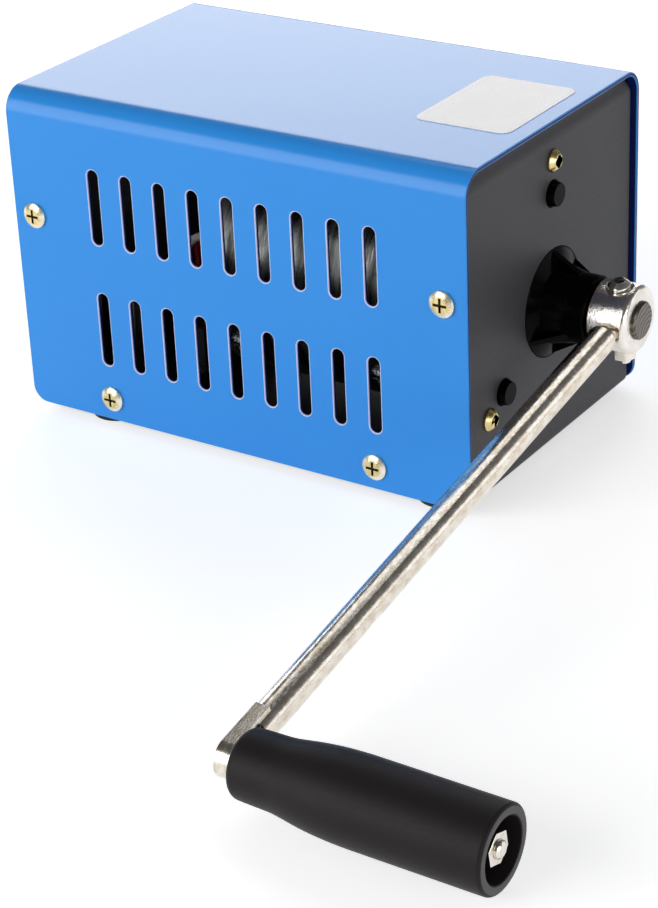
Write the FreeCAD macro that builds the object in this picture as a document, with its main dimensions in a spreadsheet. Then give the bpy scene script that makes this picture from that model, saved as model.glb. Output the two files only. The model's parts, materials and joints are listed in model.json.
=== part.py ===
# Hand crank generator: a sheet-metal box with a two-stage planetary gearbox, a three-phase generator, an output
# board and a long crank with a turning handle.
# The origin is on the floor under the middle of the box. X runs along the box towards the crank, Y across it and
# Z up. Lengths are millimetres, angles are degrees.
import FreeCAD
import Part
import math
import os
import re
import Sketcher
from FreeCAD import Placement, Rotation, Vector

doc = FreeCAD.newDocument("HandCrankGenerator")
sheet = doc.addObject("Spreadsheet::Sheet", "Sizes")

# Driving sizes, each with the name that the formulas below use
SIZES = [
    # Cover and chassis
    ("box_length", 140.0),
    ("box_width", 90.0),
    ("box_height", 90.0),
    ("sheet_thickness", 1.2),
    ("cover_bend_radius", 6.5),
    ("cover_corner_radius", 4.5),
    ("panel_recess", 1.2),
    ("chassis_gap", 0.15),
    ("chassis_bend_radius", 2.0),
    ("flange_depth", 12.0),
    ("panel_top_gap", 0.3),
    # Slots, measured from the cover's lower edge
    ("slot_count", 9),
    ("slot_pitch", 10.65),
    ("slot_width", 3.5),
    ("slot_length", 21.0),
    ("slot_bottom", 16.2),
    ("slot_row_step", 34.9),
    # Cover screws
    ("cover_screw_inset", 6.9),
    ("cover_screw_height", 56.0),
    ("base_screw_inset", 28.0),
    ("base_screw_height", 6.5),
    ("m3_radius", 1.45),
    ("m3_hole_radius", 1.6),
    ("m3_head_radius", 3.5),
    ("m3_head_height", 1.5),
    ("m3_head_rim", 0.7),
    ("m3_length", 6.0),
    # Feet
    ("foot_height", 2.5),
    ("foot_radius", 8.0),
    ("foot_draft", 0.6),
    ("foot_inset_crank_end", 12.9),
    ("foot_inset_output_end", 22.1),
    ("foot_inset_side", 9.7),
    # Blank label on the lid
    ("label_length", 27.0),
    ("label_width", 37.3),
    ("label_inset", 18.5),
    ("label_y", 2.3),
    ("label_corner", 3.0),
    ("label_thickness", 0.15),
    # Gearbox cover, its boss and its screws
    ("crank_drop", 4.7),
    ("boss_base_radius", 14.5),
    ("boss_waist_radius", 10.6),
    ("boss_waist_length", 1.8),
    ("boss_cone_length", 8.2),
    ("boss_length", 13.5),
    ("neck_radius", 9.2),
    ("neck_edge_radius", 0.8),
    ("rib_count", 6),
    ("rib_width", 1.9),
    ("rib_foot_radius", 14.2),
    ("rib_start_angle", 30.0),
    ("post_circle", 29.6),
    ("post_base_radius", 3.5),
    ("post_face_radius", 3.0),
    ("post_height", 2.0),
    ("panel_hole_clearance", 0.2),
    ("gearbox_radius", 34.0),
    ("gearbox_flange", 4.0),
    ("lug_circle", 38.4),
    ("lug_radius", 4.0),
    ("lug_start_angle", 90.0),
    ("lug_length", 12.0),
    ("m4_radius", 1.95),
    ("m4_hole_radius", 2.1),
    ("m4_head_radius", 3.0),
    ("m4_head_height", 1.8),
    ("m4_length", 14.0),
    # Shafts and bushes
    ("crank_shaft_radius", 5.0),
    ("crank_bush_radius", 7.0),
    ("crank_bush_front_length", 8.0),
    ("crank_bush_rear_length", 6.0),
    ("rotor_shaft_radius", 3.0),
    ("rotor_bush_radius", 6.0),
    ("running_clearance", 0.03),
    ("edge_chamfer", 0.5),
    # Planetary stages
    ("gear_module", 1.25),
    ("sun_teeth", 12),
    ("planet_teeth", 15),
    ("planet_count", 3),
    ("pressure_angle", 20.0),
    ("tooth_addendum", 0.8),
    ("tooth_dedendum", 1.0),
    ("tooth_backlash", 0.08),
    ("gear_width", 8.0),
    ("gear_gap", 0.3),
    ("carrier_thickness", 2.6),
    ("carrier_rim", 4.0),
    ("pin_radius", 2.5),
    ("sun_spigot_radius", 5.0),
    # Generator
    ("housing_wall", 4.0),
    ("spigot_length", 6.0),
    ("spigot_bore", 25.0),
    ("spigot_clearance", 0.05),
    ("can_radius", 33.0),
    ("can_wall", 1.5),
    ("output_space", 54.5),
    ("can_screw_circle_start", 90.0),
    ("can_screw_inset", 3.0),
    ("can_screw_length", 5.0),
    ("can_screw_head_radius", 2.8),
    ("can_screw_head_height", 1.4),
    ("bell_thickness", 3.0),
    ("bell_hub_radius", 8.5),
    ("bell_hub_length", 4.0),
    ("stator_start", 11.0),
    ("stator_teeth", 9),
    ("stator_yoke", 4.5),
    ("stator_tooth_width", 5.5),
    ("stator_bore", 17.0),
    ("stator_shoe", 1.8),
    ("stator_slot_opening", 2.5),
    ("coil_thickness", 2.4),
    ("coil_clearance", 0.1),
    ("rotor_radius", 12.5),
    ("magnet_count", 6),
    ("magnet_thickness", 3.8),
    ("magnet_span", 54.0),
    ("glue_gap", 0.05),
    # Hub and its screw
    ("hub_gap", 1.0),
    ("hub_length", 10.4),
    ("hub_radius", 9.0),
    ("hub_edge_radius", 1.5),
    ("hub_flat", 8.0),
    ("shaft_proud", 1.0),
    ("hub_screw_head_radius", 2.9),
    ("hub_screw_head_height", 2.2),
    ("hub_screw_tip", 13.5),
    ("hub_washer_radius", 3.5),
    ("hub_washer_thickness", 0.5),
    ("hub_nut_across", 5.5),
    ("hub_nut_height", 4.0),
    # Arm, axle and handle
    ("crank_radius", 177.0),
    ("rest_angle", 190.2),
    ("arm_radius", 3.75),
    ("arm_neck_radius", 2.5),
    ("arm_shoulder", 10.8),
    ("tab_thickness", 3.6),
    ("tab_width", 9.0),
    ("tab_length", 8.5),
    ("axle_radius", 3.0),
    ("axle_thread_radius", 2.0),
    ("axle_end_play", 0.15),
    ("axle_washer_radius", 5.0),
    ("axle_washer_thickness", 1.0),
    ("axle_proud", 1.0),
    ("handle_length", 61.5),
    ("handle_inner_radius", 7.8),
    ("handle_waist_radius", 8.0),
    ("handle_waist_length", 8.7),
    ("handle_swell_lead", 4.0),
    ("handle_swell_rise", 8.0),
    ("handle_swell_length", 21.0),
    ("handle_grip_radius", 9.8),
    ("handle_end_radius", 9.7),
    ("handle_edge_radius", 1.8),
    ("recess_radius", 7.1),
    ("recess_depth", 5.5),
    ("handle_nut_across", 7.0),
    ("handle_nut_height", 3.2),
    # Output board
    ("board_gap", 1.6),
    ("board_length", 42.0),
    ("board_width", 64.0),
    ("board_thickness", 1.6),
    ("standoff_height", 8.0),
    ("standoff_radius", 2.5),
    ("standoff_inset", 3.5),
    ("board_screw_length", 5.0),
    ("part_clearance", 0.1),
    ("usb_y", -12.0),
    ("usb_width", 13.1),
    ("usb_height", 5.7),
    ("usb_depth", 14.0),
    ("usb_wall", 0.4),
    ("usb_tongue_thickness", 1.8),
    ("usb_tongue_width", 11.0),
    ("usb_tongue_depth", 8.8),
    ("dc_y", 12.0),
    ("dc_width", 9.0),
    ("dc_height", 11.0),
    ("dc_depth", 14.0),
    ("dc_bore_radius", 3.2),
    ("dc_bore_height", 6.5),
    ("dc_bore_depth", 10.0),
    ("dc_pin_radius", 1.05),
    ("lamp_y", 21.0),
    ("lamp_block", 5.0),
    ("lamp_block_height", 7.0),
    ("lamp_radius", 1.5),
    ("terminal_inset", 6.0),
    ("terminal_y", -16.0),
    ("terminal_pitch", 5.08),
    ("terminal_depth", 8.0),
    ("terminal_height", 11.0),
    ("terminal_screw_radius", 1.4),
    ("wire_radius", 1.1),
    ("wire_exit_height", 8.0),
    ("wire_entry_offset", 1.8),
    ("wire_socket_depth", 3.0),
    ("heat_sink_inset", 18.0),
    ("heat_sink_y", -27.0),
    ("heat_sink_length", 16.0),
    ("heat_sink_width", 8.0),
    ("heat_sink_height", 20.0),
    ("heat_sink_web", 1.6),
    ("heat_sink_fins", 5),
    ("heat_sink_fin", 1.2),
    ("rectifier_length", 10.0),
    ("rectifier_thickness", 4.5),
    ("rectifier_height", 15.0),
    ("capacitor_inset", 20.0),
    ("capacitor_y", 13.0),
    ("capacitor_pitch", 12.0),
    ("capacitor_count", 2),
    ("capacitor_radius", 5.0),
    ("capacitor_height", 20.0),
    ("capacitor_edge_radius", 0.8),
    ("choke_inset", 21.0),
    ("choke_y", -3.0),
    ("choke_ring_radius", 5.5),
    ("choke_wire_radius", 2.8),
]
for row, (alias, number) in enumerate(SIZES, 1):
    sheet.set(f"A{row}", alias)
    sheet.set(f"B{row}", str(number))
    sheet.setAlias(f"B{row}", alias)
doc.recompute()
ALIASES = {alias for alias, number in SIZES}

# Places worked out from the sizes, as formulas
CRANK_Z = "(foot_height + box_height / 2 - crank_drop)"
LID_TOP = "(foot_height + box_height)"
COVER_INSIDE = "(box_width / 2 - sheet_thickness)"
PANEL_OUT = "(box_length / 2 - panel_recess)"
PANEL_IN = f"({PANEL_OUT} - sheet_thickness)"
CHASSIS_SIDE = f"({COVER_INSIDE} - chassis_gap)"
CHASSIS_HEIGHT = "(box_height - sheet_thickness - panel_top_gap)"
FLOOR_TOP = "(foot_height + sheet_thickness)"
FLANGE_BACK = f"({PANEL_IN} - gearbox_flange)"
BOSS_END = f"({PANEL_OUT} + boss_length)"
CARRIER_1_FRONT = f"({FLANGE_BACK} - gear_gap)"
CARRIER_1_BACK = f"({CARRIER_1_FRONT} - carrier_thickness)"
GEARS_1_FRONT = f"({CARRIER_1_BACK} - gear_gap)"
GEARS_1_BACK = f"({GEARS_1_FRONT} - gear_width)"
CARRIER_2_FRONT = f"({GEARS_1_BACK} - gear_gap)"
CARRIER_2_BACK = f"({CARRIER_2_FRONT} - carrier_thickness)"
GEARS_2_FRONT = f"({CARRIER_2_BACK} - gear_gap)"
GEARS_2_BACK = f"({GEARS_2_FRONT} - gear_width)"
WALL_FRONT = f"({GEARS_2_BACK} - gear_gap)"
WALL_BACK = f"({WALL_FRONT} - housing_wall)"
SPIGOT_BACK = f"({WALL_BACK} - spigot_length)"
CAN_BACK = f"(output_space - {PANEL_IN})"
CAN_LENGTH = f"({WALL_BACK} - {CAN_BACK})"
CAN_BORE = "(can_radius - can_wall)"
SPIGOT_RADIUS = f"({CAN_BORE} - spigot_clearance)"
BELL_BACK = f"({CAN_BACK} - bell_thickness)"
BELL_HUB_BACK = f"({BELL_BACK} - bell_hub_length)"
BELL_SPIGOT_FRONT = f"({CAN_BACK} + spigot_length)"
STATOR_BACK = f"({CAN_BACK} + stator_start)"
STATOR_LENGTH = f"({CAN_LENGTH} - 2 * stator_start)"
STATOR_FRONT = f"({STATOR_BACK} + {STATOR_LENGTH})"
PLANET_CIRCLE = "(gear_module * (sun_teeth + planet_teeth) / 2)"
RING_TEETH = "(sun_teeth + 2 * planet_teeth)"
CARRIER_RADIUS = f"({PLANET_CIRCLE} + pin_radius + carrier_rim)"
HUB_BACK = f"({BOSS_END} + hub_gap)"
HUB_FRONT = f"({HUB_BACK} + hub_length)"
ARM_X = f"({HUB_BACK} + hub_length / 2)"
SHAFT_END = f"({HUB_FRONT} + shaft_proud)"
TAB_FRONT = f"({ARM_X} + tab_thickness / 2)"
TAB_BACK = f"({TAB_FRONT} - tab_thickness)"
INNER_WASHER_FRONT = f"({TAB_FRONT} + axle_washer_thickness)"
HANDLE_BACK = f"({INNER_WASHER_FRONT} + axle_end_play)"
HANDLE_FRONT = f"({HANDLE_BACK} + handle_length)"
RECESS_FLOOR = f"({HANDLE_FRONT} - recess_depth)"
AXLE_SHOULDER = f"({RECESS_FLOOR} + axle_end_play)"
HANDLE_NUT_BACK = f"({AXLE_SHOULDER} + axle_washer_thickness)"
HANDLE_NUT_FRONT = f"({HANDLE_NUT_BACK} + handle_nut_height)"
BOARD_BOTTOM = f"({FLOOR_TOP} + standoff_height)"
BOARD_TOP = f"({BOARD_BOTTOM} + board_thickness)"
BOARD_BACK = f"(board_gap - {PANEL_IN})"
BOARD_FRONT = f"({BOARD_BACK} + board_length)"
TERMINAL_TOP = f"({BOARD_TOP} + terminal_height)"
TERMINAL_X = f"({BOARD_FRONT} - terminal_inset)"
WIRE_X = f"({TERMINAL_X} - wire_entry_offset)"
WIRE_Z = f"({CRANK_Z} + wire_exit_height)"
HEAT_SINK_X = f"({BOARD_BACK} + heat_sink_inset)"
CAPACITOR_X = f"({BOARD_BACK} + capacitor_inset)"
CHOKE_X = f"({BOARD_BACK} + choke_inset)"

X_AXIS = Vector(1, 0, 0)
Y_AXIS = Vector(0, 1, 0)
Z_AXIS = Vector(0, 0, 1)
nodes = []


def formula(text):
    """Put the sheet's name in front of every size in a formula."""
    def full(match):
        word = match.group(0)
        return "Sizes." + word if word in ALIASES else word
    return re.sub(r"[a-z]\w*", full, text)


def size(text):
    """The number that a formula gives."""
    return float(sheet.evalExpression(formula(text)))


def bind(thing, name, text):
    thing.setExpression(name, formula(text))


def place(thing, x="0", y="0", z="0", axis=None, angle="0"):
    """Put an object at formulas for its place, turned about one axis."""
    thing.Placement = Placement(Vector(), Rotation(axis or Z_AXIS, 1 if axis else 0))
    for name, text in (("x", x), ("y", y), ("z", z)):
        bind(thing, "Placement.Base." + name, text)
    if axis:
        bind(thing, "Placement.Rotation.Angle", angle)


def node(thing, name):
    """Name a finished sub-part."""
    thing.Label = name
    nodes.append(thing)
    return thing


def around(radius, angle, height=CRANK_Z):
    """Formulas for Y and Z on a circle about the crank's axis."""
    return f"(({radius}) * cos({angle}))", f"({height} + ({radius}) * sin({angle}))"


def angles(count, start="0"):
    number = int(size(count))
    return [f"({start} + {360 * i / number})" for i in range(number)]


# Primitives and booleans

def box(x, y, z, length, width, height):
    thing = doc.addObject("Part::Box", "box")
    bind(thing, "Length", length)
    bind(thing, "Width", width)
    bind(thing, "Height", height)
    place(thing, x, y, z)
    return thing


def rod(axis, radius, length, x="0", y="0", z="0"):
    """A cylinder that starts at a point and runs along X, Y or Z."""
    thing = doc.addObject("Part::Cylinder", "rod")
    bind(thing, "Radius", radius)
    bind(thing, "Height", length)
    turns = {"X": (Y_AXIS, "90"), "-X": (Y_AXIS, "-90"), "Y": (X_AXIS, "-90"), "-Y": (X_AXIS, "90")}
    if axis in turns:
        place(thing, x, y, z, *turns[axis])
    else:
        place(thing, x, y, z)
    return thing


def cone(radius_1, radius_2, length, x="0", y="0", z="0"):
    """A cone that starts at a point and runs along X."""
    thing = doc.addObject("Part::Cone", "cone")
    bind(thing, "Radius1", radius_1)
    bind(thing, "Radius2", radius_2)
    bind(thing, "Height", length)
    place(thing, x, y, z, Y_AXIS, "90")
    return thing


def tube(outer, inner, x, length, y="0", z=CRANK_Z):
    """A plain ring about an axis along X."""
    return cut(rod("X", outer, length, x, y, z), [rod("X", inner, length, x, y, z)])


def join(pieces):
    thing = doc.addObject("Part::MultiFuse", "join")
    thing.Shapes = pieces
    return thing


def cut(base, tools):
    thing = doc.addObject("Part::Cut", "cut")
    thing.Base = base
    thing.Tool = tools[0] if len(tools) == 1 else join(tools)
    return thing


def rounded(base, radius, chosen):
    """Round the edges that a test picks, by the two ends of each."""
    doc.recompute()
    thing = doc.addObject("Part::Fillet", "rounded")
    thing.Base = base
    picked = []
    for i, edge in enumerate(base.Shape.Edges, 1):
        ends = [vertex.Point for vertex in edge.Vertexes]
        if chosen(ends[0], ends[-1]):
            picked.append((i, size(radius), size(radius)))
    thing.Edges = picked
    return thing


def prism(axis, across, length, x, y, z):
    """A hexagon nut's outline, a given distance across its flats."""
    thing = doc.addObject("Part::Prism", "prism")
    thing.Polygon = 6
    bind(thing, "Circumradius", f"{across} / 2 / cos(30)")
    bind(thing, "Height", length)
    if axis == "X":
        place(thing, x, y, z, Y_AXIS, "90")
    else:
        place(thing, x, y, z)
    return thing


def copies(shape, places):
    """Several separate copies of one shape, as one sub-part."""
    thing = doc.addObject("Part::Feature", "copies")
    made = []
    for where in places:
        one = shape.copy()
        one.Placement = where.multiply(one.Placement)
        made.append(one)
    thing.Shape = Part.makeCompound(made)
    return thing


def outward(angle, height=CRANK_Z):
    """The turn that takes Z to the direction at an angle about the crank's axis."""
    return Placement(Vector(0, 0, size(height)), Rotation(X_AXIS, size(angle) - 90))


# Bodies with sketches

def plane(body, role):
    return [part for part in body.Origin.OriginFeatures if part.Role == role][0]


def sketch_on(body, role):
    sketch = body.newObject("Sketcher::SketchObject", "outline")
    sketch.AttachmentSupport = [(plane(body, role), "")]
    sketch.MapMode = "FlatFace"
    return sketch


def pin_point(sketch, geometry, end, x, y):
    """Tie one sketch point to formulas for its two coordinates."""
    for kind, text, axis in (("DistanceX", x, -2), ("DistanceY", y, -1)):
        if text == "0":
            sketch.addConstraint(Sketcher.Constraint("PointOnObject", geometry, end, axis))
        else:
            tie = Sketcher.Constraint(kind, -1, 1, geometry, end, size(text))
            number = sketch.addConstraint(tie)
            bind(sketch, f"Constraints[{number}]", text)


def polygon(sketch, points):
    """A closed outline through points given as formulas."""
    corners = [Vector(size(x), size(y), 0) for x, y in points]
    count = len(points)
    for i in range(count):
        sketch.addGeometry(Part.LineSegment(corners[i], corners[(i + 1) % count]), False)
    for i in range(count):
        sketch.addConstraint(Sketcher.Constraint("Coincident", i, 2, (i + 1) % count, 1))
    for i, (x, y) in enumerate(points):
        pin_point(sketch, i, 1, x, y)


def circles(sketch, centres, radius):
    for x, y in centres:
        number = sketch.addGeometry(Part.Circle(Vector(size(x), size(y), 0), Z_AXIS, size(radius)), False)
        pin_point(sketch, number, 3, x, y)
        tie = sketch.addConstraint(Sketcher.Constraint("Radius", number, size(radius)))
        bind(sketch, f"Constraints[{tie}]", radius)


def turned(outline, z=CRANK_Z):
    """A body turned about X, from its outline as (X, radius) formulas."""
    body = doc.addObject("PartDesign::Body", "turned")
    sketch = sketch_on(body, "XY_Plane")
    polygon(sketch, outline)
    spin = body.newObject("PartDesign::Revolution", "spin")
    spin.Profile = sketch
    spin.ReferenceAxis = (sketch, ["H_Axis"])
    spin.Angle = 360
    place(body, z=z)
    return body


def round_edges(body, radius, chosen):
    """Round a body's edges that a test picks, by the middle of each edge."""
    doc.recompute()
    last = body.Tip
    names = []
    for i, edge in enumerate(last.Shape.Edges, 1):
        if chosen(edge):
            names.append(f"Edge{i}")
    fillet = body.newObject("PartDesign::Fillet", "rounding")
    fillet.Base = (last, names)
    bind(fillet, "Radius", radius)
    return fillet


def ring_edge(x, radius):
    """A test for the circle at a given X and radius in a turned body."""
    def chosen(edge):
        curve = edge.Curve
        if not isinstance(curve, Part.Circle):
            return False
        return abs(curve.Center.x - size(x)) < 1e-4 and abs(curve.Radius - size(radius)) < 1e-4
    return chosen


def pocket_through(body, sketch):
    """Cut a sketch right through a body, both ways, and check that it cut."""
    doc.recompute()
    before = body.Shape.Volume
    pocket = body.newObject("PartDesign::Pocket", "pocket")
    pocket.Profile = sketch
    pocket.Type = "ThroughAll"
    pocket.SideType = "Symmetric"
    doc.recompute()
    if body.Shape.Volume >= before:
        raise RuntimeError("a pocket cut nothing")
    return pocket


# Cover

def slot_outline(sketch, x, bottom):
    """An upright slot with round ends: two sides and two half circles."""
    radius = size("slot_width / 2")
    low = Vector(size(x), size(bottom) + radius, 0)
    high = low + Vector(0, size("slot_length - slot_width"), 0)
    side = Vector(radius, 0, 0)
    right = Part.LineSegment(low + side, high + side)
    left = Part.LineSegment(high - side, low - side)
    top = Part.ArcOfCircle(Part.Circle(high, Z_AXIS, radius), 0, math.pi)
    base = Part.ArcOfCircle(Part.Circle(low, Z_AXIS, radius), math.pi, 2 * math.pi)
    for curve in (right, top, left, base):
        sketch.addGeometry(curve, False)
    for first, second in ((0, 1), (1, 2), (2, 3), (3, 0)):
        sketch.addConstraint(Sketcher.Constraint("Tangent", first, 2, second, 1))
    sketch.addConstraint(Sketcher.Constraint("Vertical", 0))
    tie = sketch.addConstraint(Sketcher.Constraint("Radius", 1, radius))
    bind(sketch, f"Constraints[{tie}]", "slot_width / 2")
    pin_point(sketch, 3, 3, x, f"{bottom} + slot_width / 2")
    tie = sketch.addConstraint(Sketcher.Constraint("DistanceY", 3, 3, 1, 3, high.y - low.y))
    bind(sketch, f"Constraints[{tie}]", "slot_length - slot_width")


def make_cover():
    body = doc.addObject("PartDesign::Body", "cover")
    outer = "box_width / 2"
    inner = COVER_INSIDE
    ceiling = "box_height - sheet_thickness"
    outline = sketch_on(body, "YZ_Plane")
    polygon(outline, [
        (f"-{outer}", "0"), (f"-{outer}", "box_height"), (outer, "box_height"), (outer, "0"),
        (inner, "0"), (inner, ceiling), (f"-{inner}", ceiling), (f"-{inner}", "0")])
    pad = body.newObject("PartDesign::Pad", "pad")
    pad.Profile = outline
    pad.SideType = "Symmetric"
    bind(pad, "Length", "box_length")

    def long_edge(level):
        def chosen(edge):
            ends = [vertex.Point for vertex in edge.Vertexes]
            flat = all(abs(point.z - size(level)) < 1e-4 for point in ends)
            return flat and abs(ends[0].x - ends[-1].x) > 1
        return chosen

    def lower_corner(edge):
        ends = [vertex.Point for vertex in edge.Vertexes]
        low = all(abs(point.z) < 1e-4 for point in ends)
        return low and abs(ends[0].x - ends[-1].x) < 1e-4

    round_edges(body, "cover_bend_radius", long_edge("box_height"))
    round_edges(body, "cover_bend_radius - sheet_thickness", long_edge(ceiling))
    round_edges(body, "cover_corner_radius", lower_corner)

    first_slot = "-(slot_count - 1) / 2 * slot_pitch"
    for bottom in ("slot_bottom", "(slot_bottom + slot_row_step)"):
        sketch = sketch_on(body, "XZ_Plane")
        slot_outline(sketch, first_slot, bottom)
        pocket = pocket_through(body, sketch)
        row_of_slots = body.newObject("PartDesign::LinearPattern", "slots")
        row_of_slots.Originals = [pocket]
        row_of_slots.Direction = (sketch, ["H_Axis"])
        bind(row_of_slots, "Length", "(slot_count - 1) * slot_pitch")
        bind(row_of_slots, "Occurrences", "slot_count")
        body.Tip = row_of_slots

    sketch = sketch_on(body, "XZ_Plane")
    circles(sketch, cover_screw_places(), "m3_hole_radius")
    pocket_through(body, sketch)
    place(body, z="foot_height")
    return node(body, "cover")


def cover_screw_places():
    """X and height above the cover's edge of the four screws on each side."""
    return [(sign + reach, height)
            for sign in ("", "-")
            for reach, height in (("(box_length / 2 - cover_screw_inset)", "cover_screw_height"),
                                  ("(box_length / 2 - base_screw_inset)", "base_screw_height"))]


# Chassis: base and two end panels, folded from one sheet, with flanges for the cover screws

def make_chassis():
    height = CHASSIS_HEIGHT

    def upright_or_low(first, second):
        low = max(first.z, second.z) < size(FLOOR_TOP) + 1e-4
        upright = abs(first.z - second.z) > 1
        return low or upright

    outer = box(f"-{PANEL_OUT}", f"-{CHASSIS_SIDE}", "foot_height",
                f"2 * {PANEL_OUT}", f"2 * {CHASSIS_SIDE}", height)
    inner = box(f"-{PANEL_IN}", f"-({CHASSIS_SIDE} - sheet_thickness)", FLOOR_TOP,
                f"2 * {PANEL_IN}", f"2 * ({CHASSIS_SIDE} - sheet_thickness)", height)
    outer = rounded(outer, "chassis_bend_radius", upright_or_low)
    inner = rounded(inner, "chassis_bend_radius - sheet_thickness", upright_or_low)

    def top_side(first, second):
        high = min(first.z, second.z) > size(f"foot_height + {height}") - 1e-4
        return high and abs(first.x - second.x) > 1

    outer = rounded(outer, "cover_bend_radius - sheet_thickness", top_side)
    window = box(f"-({PANEL_OUT} - flange_depth)", "-box_width / 2", "foot_height + flange_depth",
                 f"2 * ({PANEL_OUT} - flange_depth)", "box_width", height)

    flange_top = box(f"-{PANEL_IN}", "-box_width / 2", f"foot_height + {height} - cover_bend_radius",
                     f"2 * {PANEL_IN}", "box_width", height)

    tools = [inner, window, flange_top]
    for x, up in cover_screw_places():
        tools.append(rod("Y", "m3_radius + chassis_gap", "box_width", x, "-box_width / 2", f"foot_height + {up}"))

    # Crank end: boss, posts and gearbox screws
    reach = "3 * sheet_thickness"
    start = f"{PANEL_IN} - sheet_thickness"
    tools.append(rod("X", "boss_base_radius + panel_hole_clearance", reach, start, "0", CRANK_Z))
    for angle in angles("planet_count", "lug_start_angle"):
        y, z = around("post_circle", angle)
        tools.append(rod("X", "post_base_radius + panel_hole_clearance", reach, start, y, z))
        y, z = around("lug_circle", angle)
        tools.append(rod("X", "m4_hole_radius", reach, start, y, z))

    # Output end: sockets and lamp
    start = f"-{PANEL_OUT} - sheet_thickness"
    tools.append(box(start, "usb_y - usb_width / 2 - panel_hole_clearance", f"{BOARD_TOP} - panel_hole_clearance",
                     reach, "usb_width + 2 * panel_hole_clearance", "usb_height + 2 * panel_hole_clearance"))
    tools.append(box(start, "dc_y - dc_width / 2 - panel_hole_clearance", f"{BOARD_TOP} - panel_hole_clearance",
                     reach, "dc_width + 2 * panel_hole_clearance", "dc_height + 2 * panel_hole_clearance"))
    tools.append(rod("X", "lamp_radius + panel_hole_clearance", reach, start, "lamp_y",
                     f"{BOARD_TOP} + lamp_block_height / 2"))
    return node(cut(outer, tools), "chassis")


def screw_shape(radius, length, head_radius, head_height, rim):
    """A pan-head screw along Z, with the seat of its head at zero and a cross recess."""
    recess = f"({head_radius} * 0.55)"
    arm = f"({head_radius} * 0.2)"
    depth = f"({head_height} * 0.6)"
    dome = doc.addObject("Part::Cone", "head")
    bind(dome, "Radius1", head_radius)
    bind(dome, "Radius2", f"{head_radius} * 0.6")
    bind(dome, "Height", f"{head_height} - {rim}")
    place(dome, z=rim)
    head = join([rod("Z", head_radius, rim), dome, rod("Z", radius, length, z=f"-{length}")])
    slots = [box(f"-{recess}", f"-{arm} / 2", f"{head_height} - {depth}", f"2 * {recess}", arm, depth),
             box(f"-{arm} / 2", f"-{recess}", f"{head_height} - {depth}", arm, f"2 * {recess}", depth)]
    thing = cut(head, slots)
    doc.recompute()
    return thing.Shape


def make_cover_screws(m3_screw):
    places = []
    for side, turn in ((1, -90), (-1, 90)):
        for x, up in cover_screw_places():
            where = Vector(size(x), side * size("box_width / 2"), size(f"foot_height + {up}"))
            places.append(Placement(where, Rotation(X_AXIS, turn)))
    return node(copies(m3_screw, places), "cover_screws")


def make_feet():
    foot = doc.addObject("Part::Cone", "foot")
    bind(foot, "Radius1", "foot_radius - foot_draft")
    bind(foot, "Radius2", "foot_radius")
    bind(foot, "Height", "foot_height")
    doc.recompute()
    places = []
    for x in ("(box_length / 2 - foot_inset_crank_end)", "(foot_inset_output_end - box_length / 2)"):
        for side in ("(foot_inset_side - box_width / 2)", "(box_width / 2 - foot_inset_side)"):
            places.append(Placement(Vector(size(x), size(side), 0), Rotation()))
    return node(copies(foot.Shape, places), "rubber_feet")


def make_label():
    blank = box("box_length / 2 - label_inset - label_length / 2", "label_y - label_width / 2", LID_TOP,
                "label_length", "label_width", "label_thickness")

    def corner(first, second):
        return abs(first.z - second.z) > 1e-4
    return node(rounded(blank, "label_corner", corner), "label")


# Gearbox

def make_gearbox_cover():
    outline = [
        (FLANGE_BACK, "crank_bush_radius"), (FLANGE_BACK, "gearbox_radius"),
        (PANEL_IN, "gearbox_radius"), (PANEL_IN, "boss_base_radius"),
        (PANEL_OUT, "boss_base_radius"), (f"{PANEL_OUT} + boss_waist_length", "boss_waist_radius"),
        (f"{PANEL_OUT} + boss_cone_length", "neck_radius"), (BOSS_END, "neck_radius"),
        (BOSS_END, "crank_bush_radius")]
    core = turned(outline)
    round_edges(core, "neck_edge_radius", ring_edge(BOSS_END, "neck_radius"))
    pieces = [core]
    for angle in angles("rib_count", "rib_start_angle"):
        pieces.append(rib(angle))
    for angle in angles("planet_count", "lug_start_angle"):
        y, z = around("lug_circle", angle)
        pieces.append(rod("X", "lug_radius", "gearbox_flange", FLANGE_BACK, y, z))
        pieces.append(lug_web(angle, FLANGE_BACK, "gearbox_flange"))
        y, z = around("post_circle", angle)
        pieces.append(rod("X", "post_base_radius", "sheet_thickness", PANEL_IN, y, z))
        pieces.append(cone("post_base_radius", "post_face_radius", "post_height", PANEL_OUT, y, z))
    holes = []
    for angle in angles("planet_count", "lug_start_angle"):
        y, z = around("lug_circle", angle)
        holes.append(rod("X", "m4_hole_radius", "gearbox_flange", FLANGE_BACK, y, z))
    return node(cut(join(pieces), holes), "gearbox_cover")


def rib(angle):
    """One rib of the boss: a thin web that slopes from the panel to the neck."""
    body = doc.addObject("PartDesign::Body", "rib")
    sketch = sketch_on(body, "XY_Plane")
    inside = "(crank_bush_radius + neck_radius) / 2"
    polygon(sketch, [
        (PANEL_OUT, inside), (PANEL_OUT, "rib_foot_radius"),
        (f"{PANEL_OUT} + boss_cone_length", "neck_radius + rib_width / 8"),
        (f"{PANEL_OUT} + boss_cone_length", inside)])
    pad = body.newObject("PartDesign::Pad", "pad")
    pad.Profile = sketch
    pad.SideType = "Symmetric"
    bind(pad, "Length", "rib_width")
    place(body, z=CRANK_Z, axis=X_AXIS, angle=angle)
    return body


def lug_web(angle, x, length):
    """The web between the round housing and one screw lug."""
    inner = "(gearbox_radius * 0.9)"
    web = box("0", inner, "-lug_radius", length, f"lug_circle - {inner}", "2 * lug_radius")
    turned_web = join([web, rod("X", "1", length, "0", inner, "0")])
    place(turned_web, x=x, z=CRANK_Z, axis=X_AXIS, angle=angle)
    return turned_web


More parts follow.
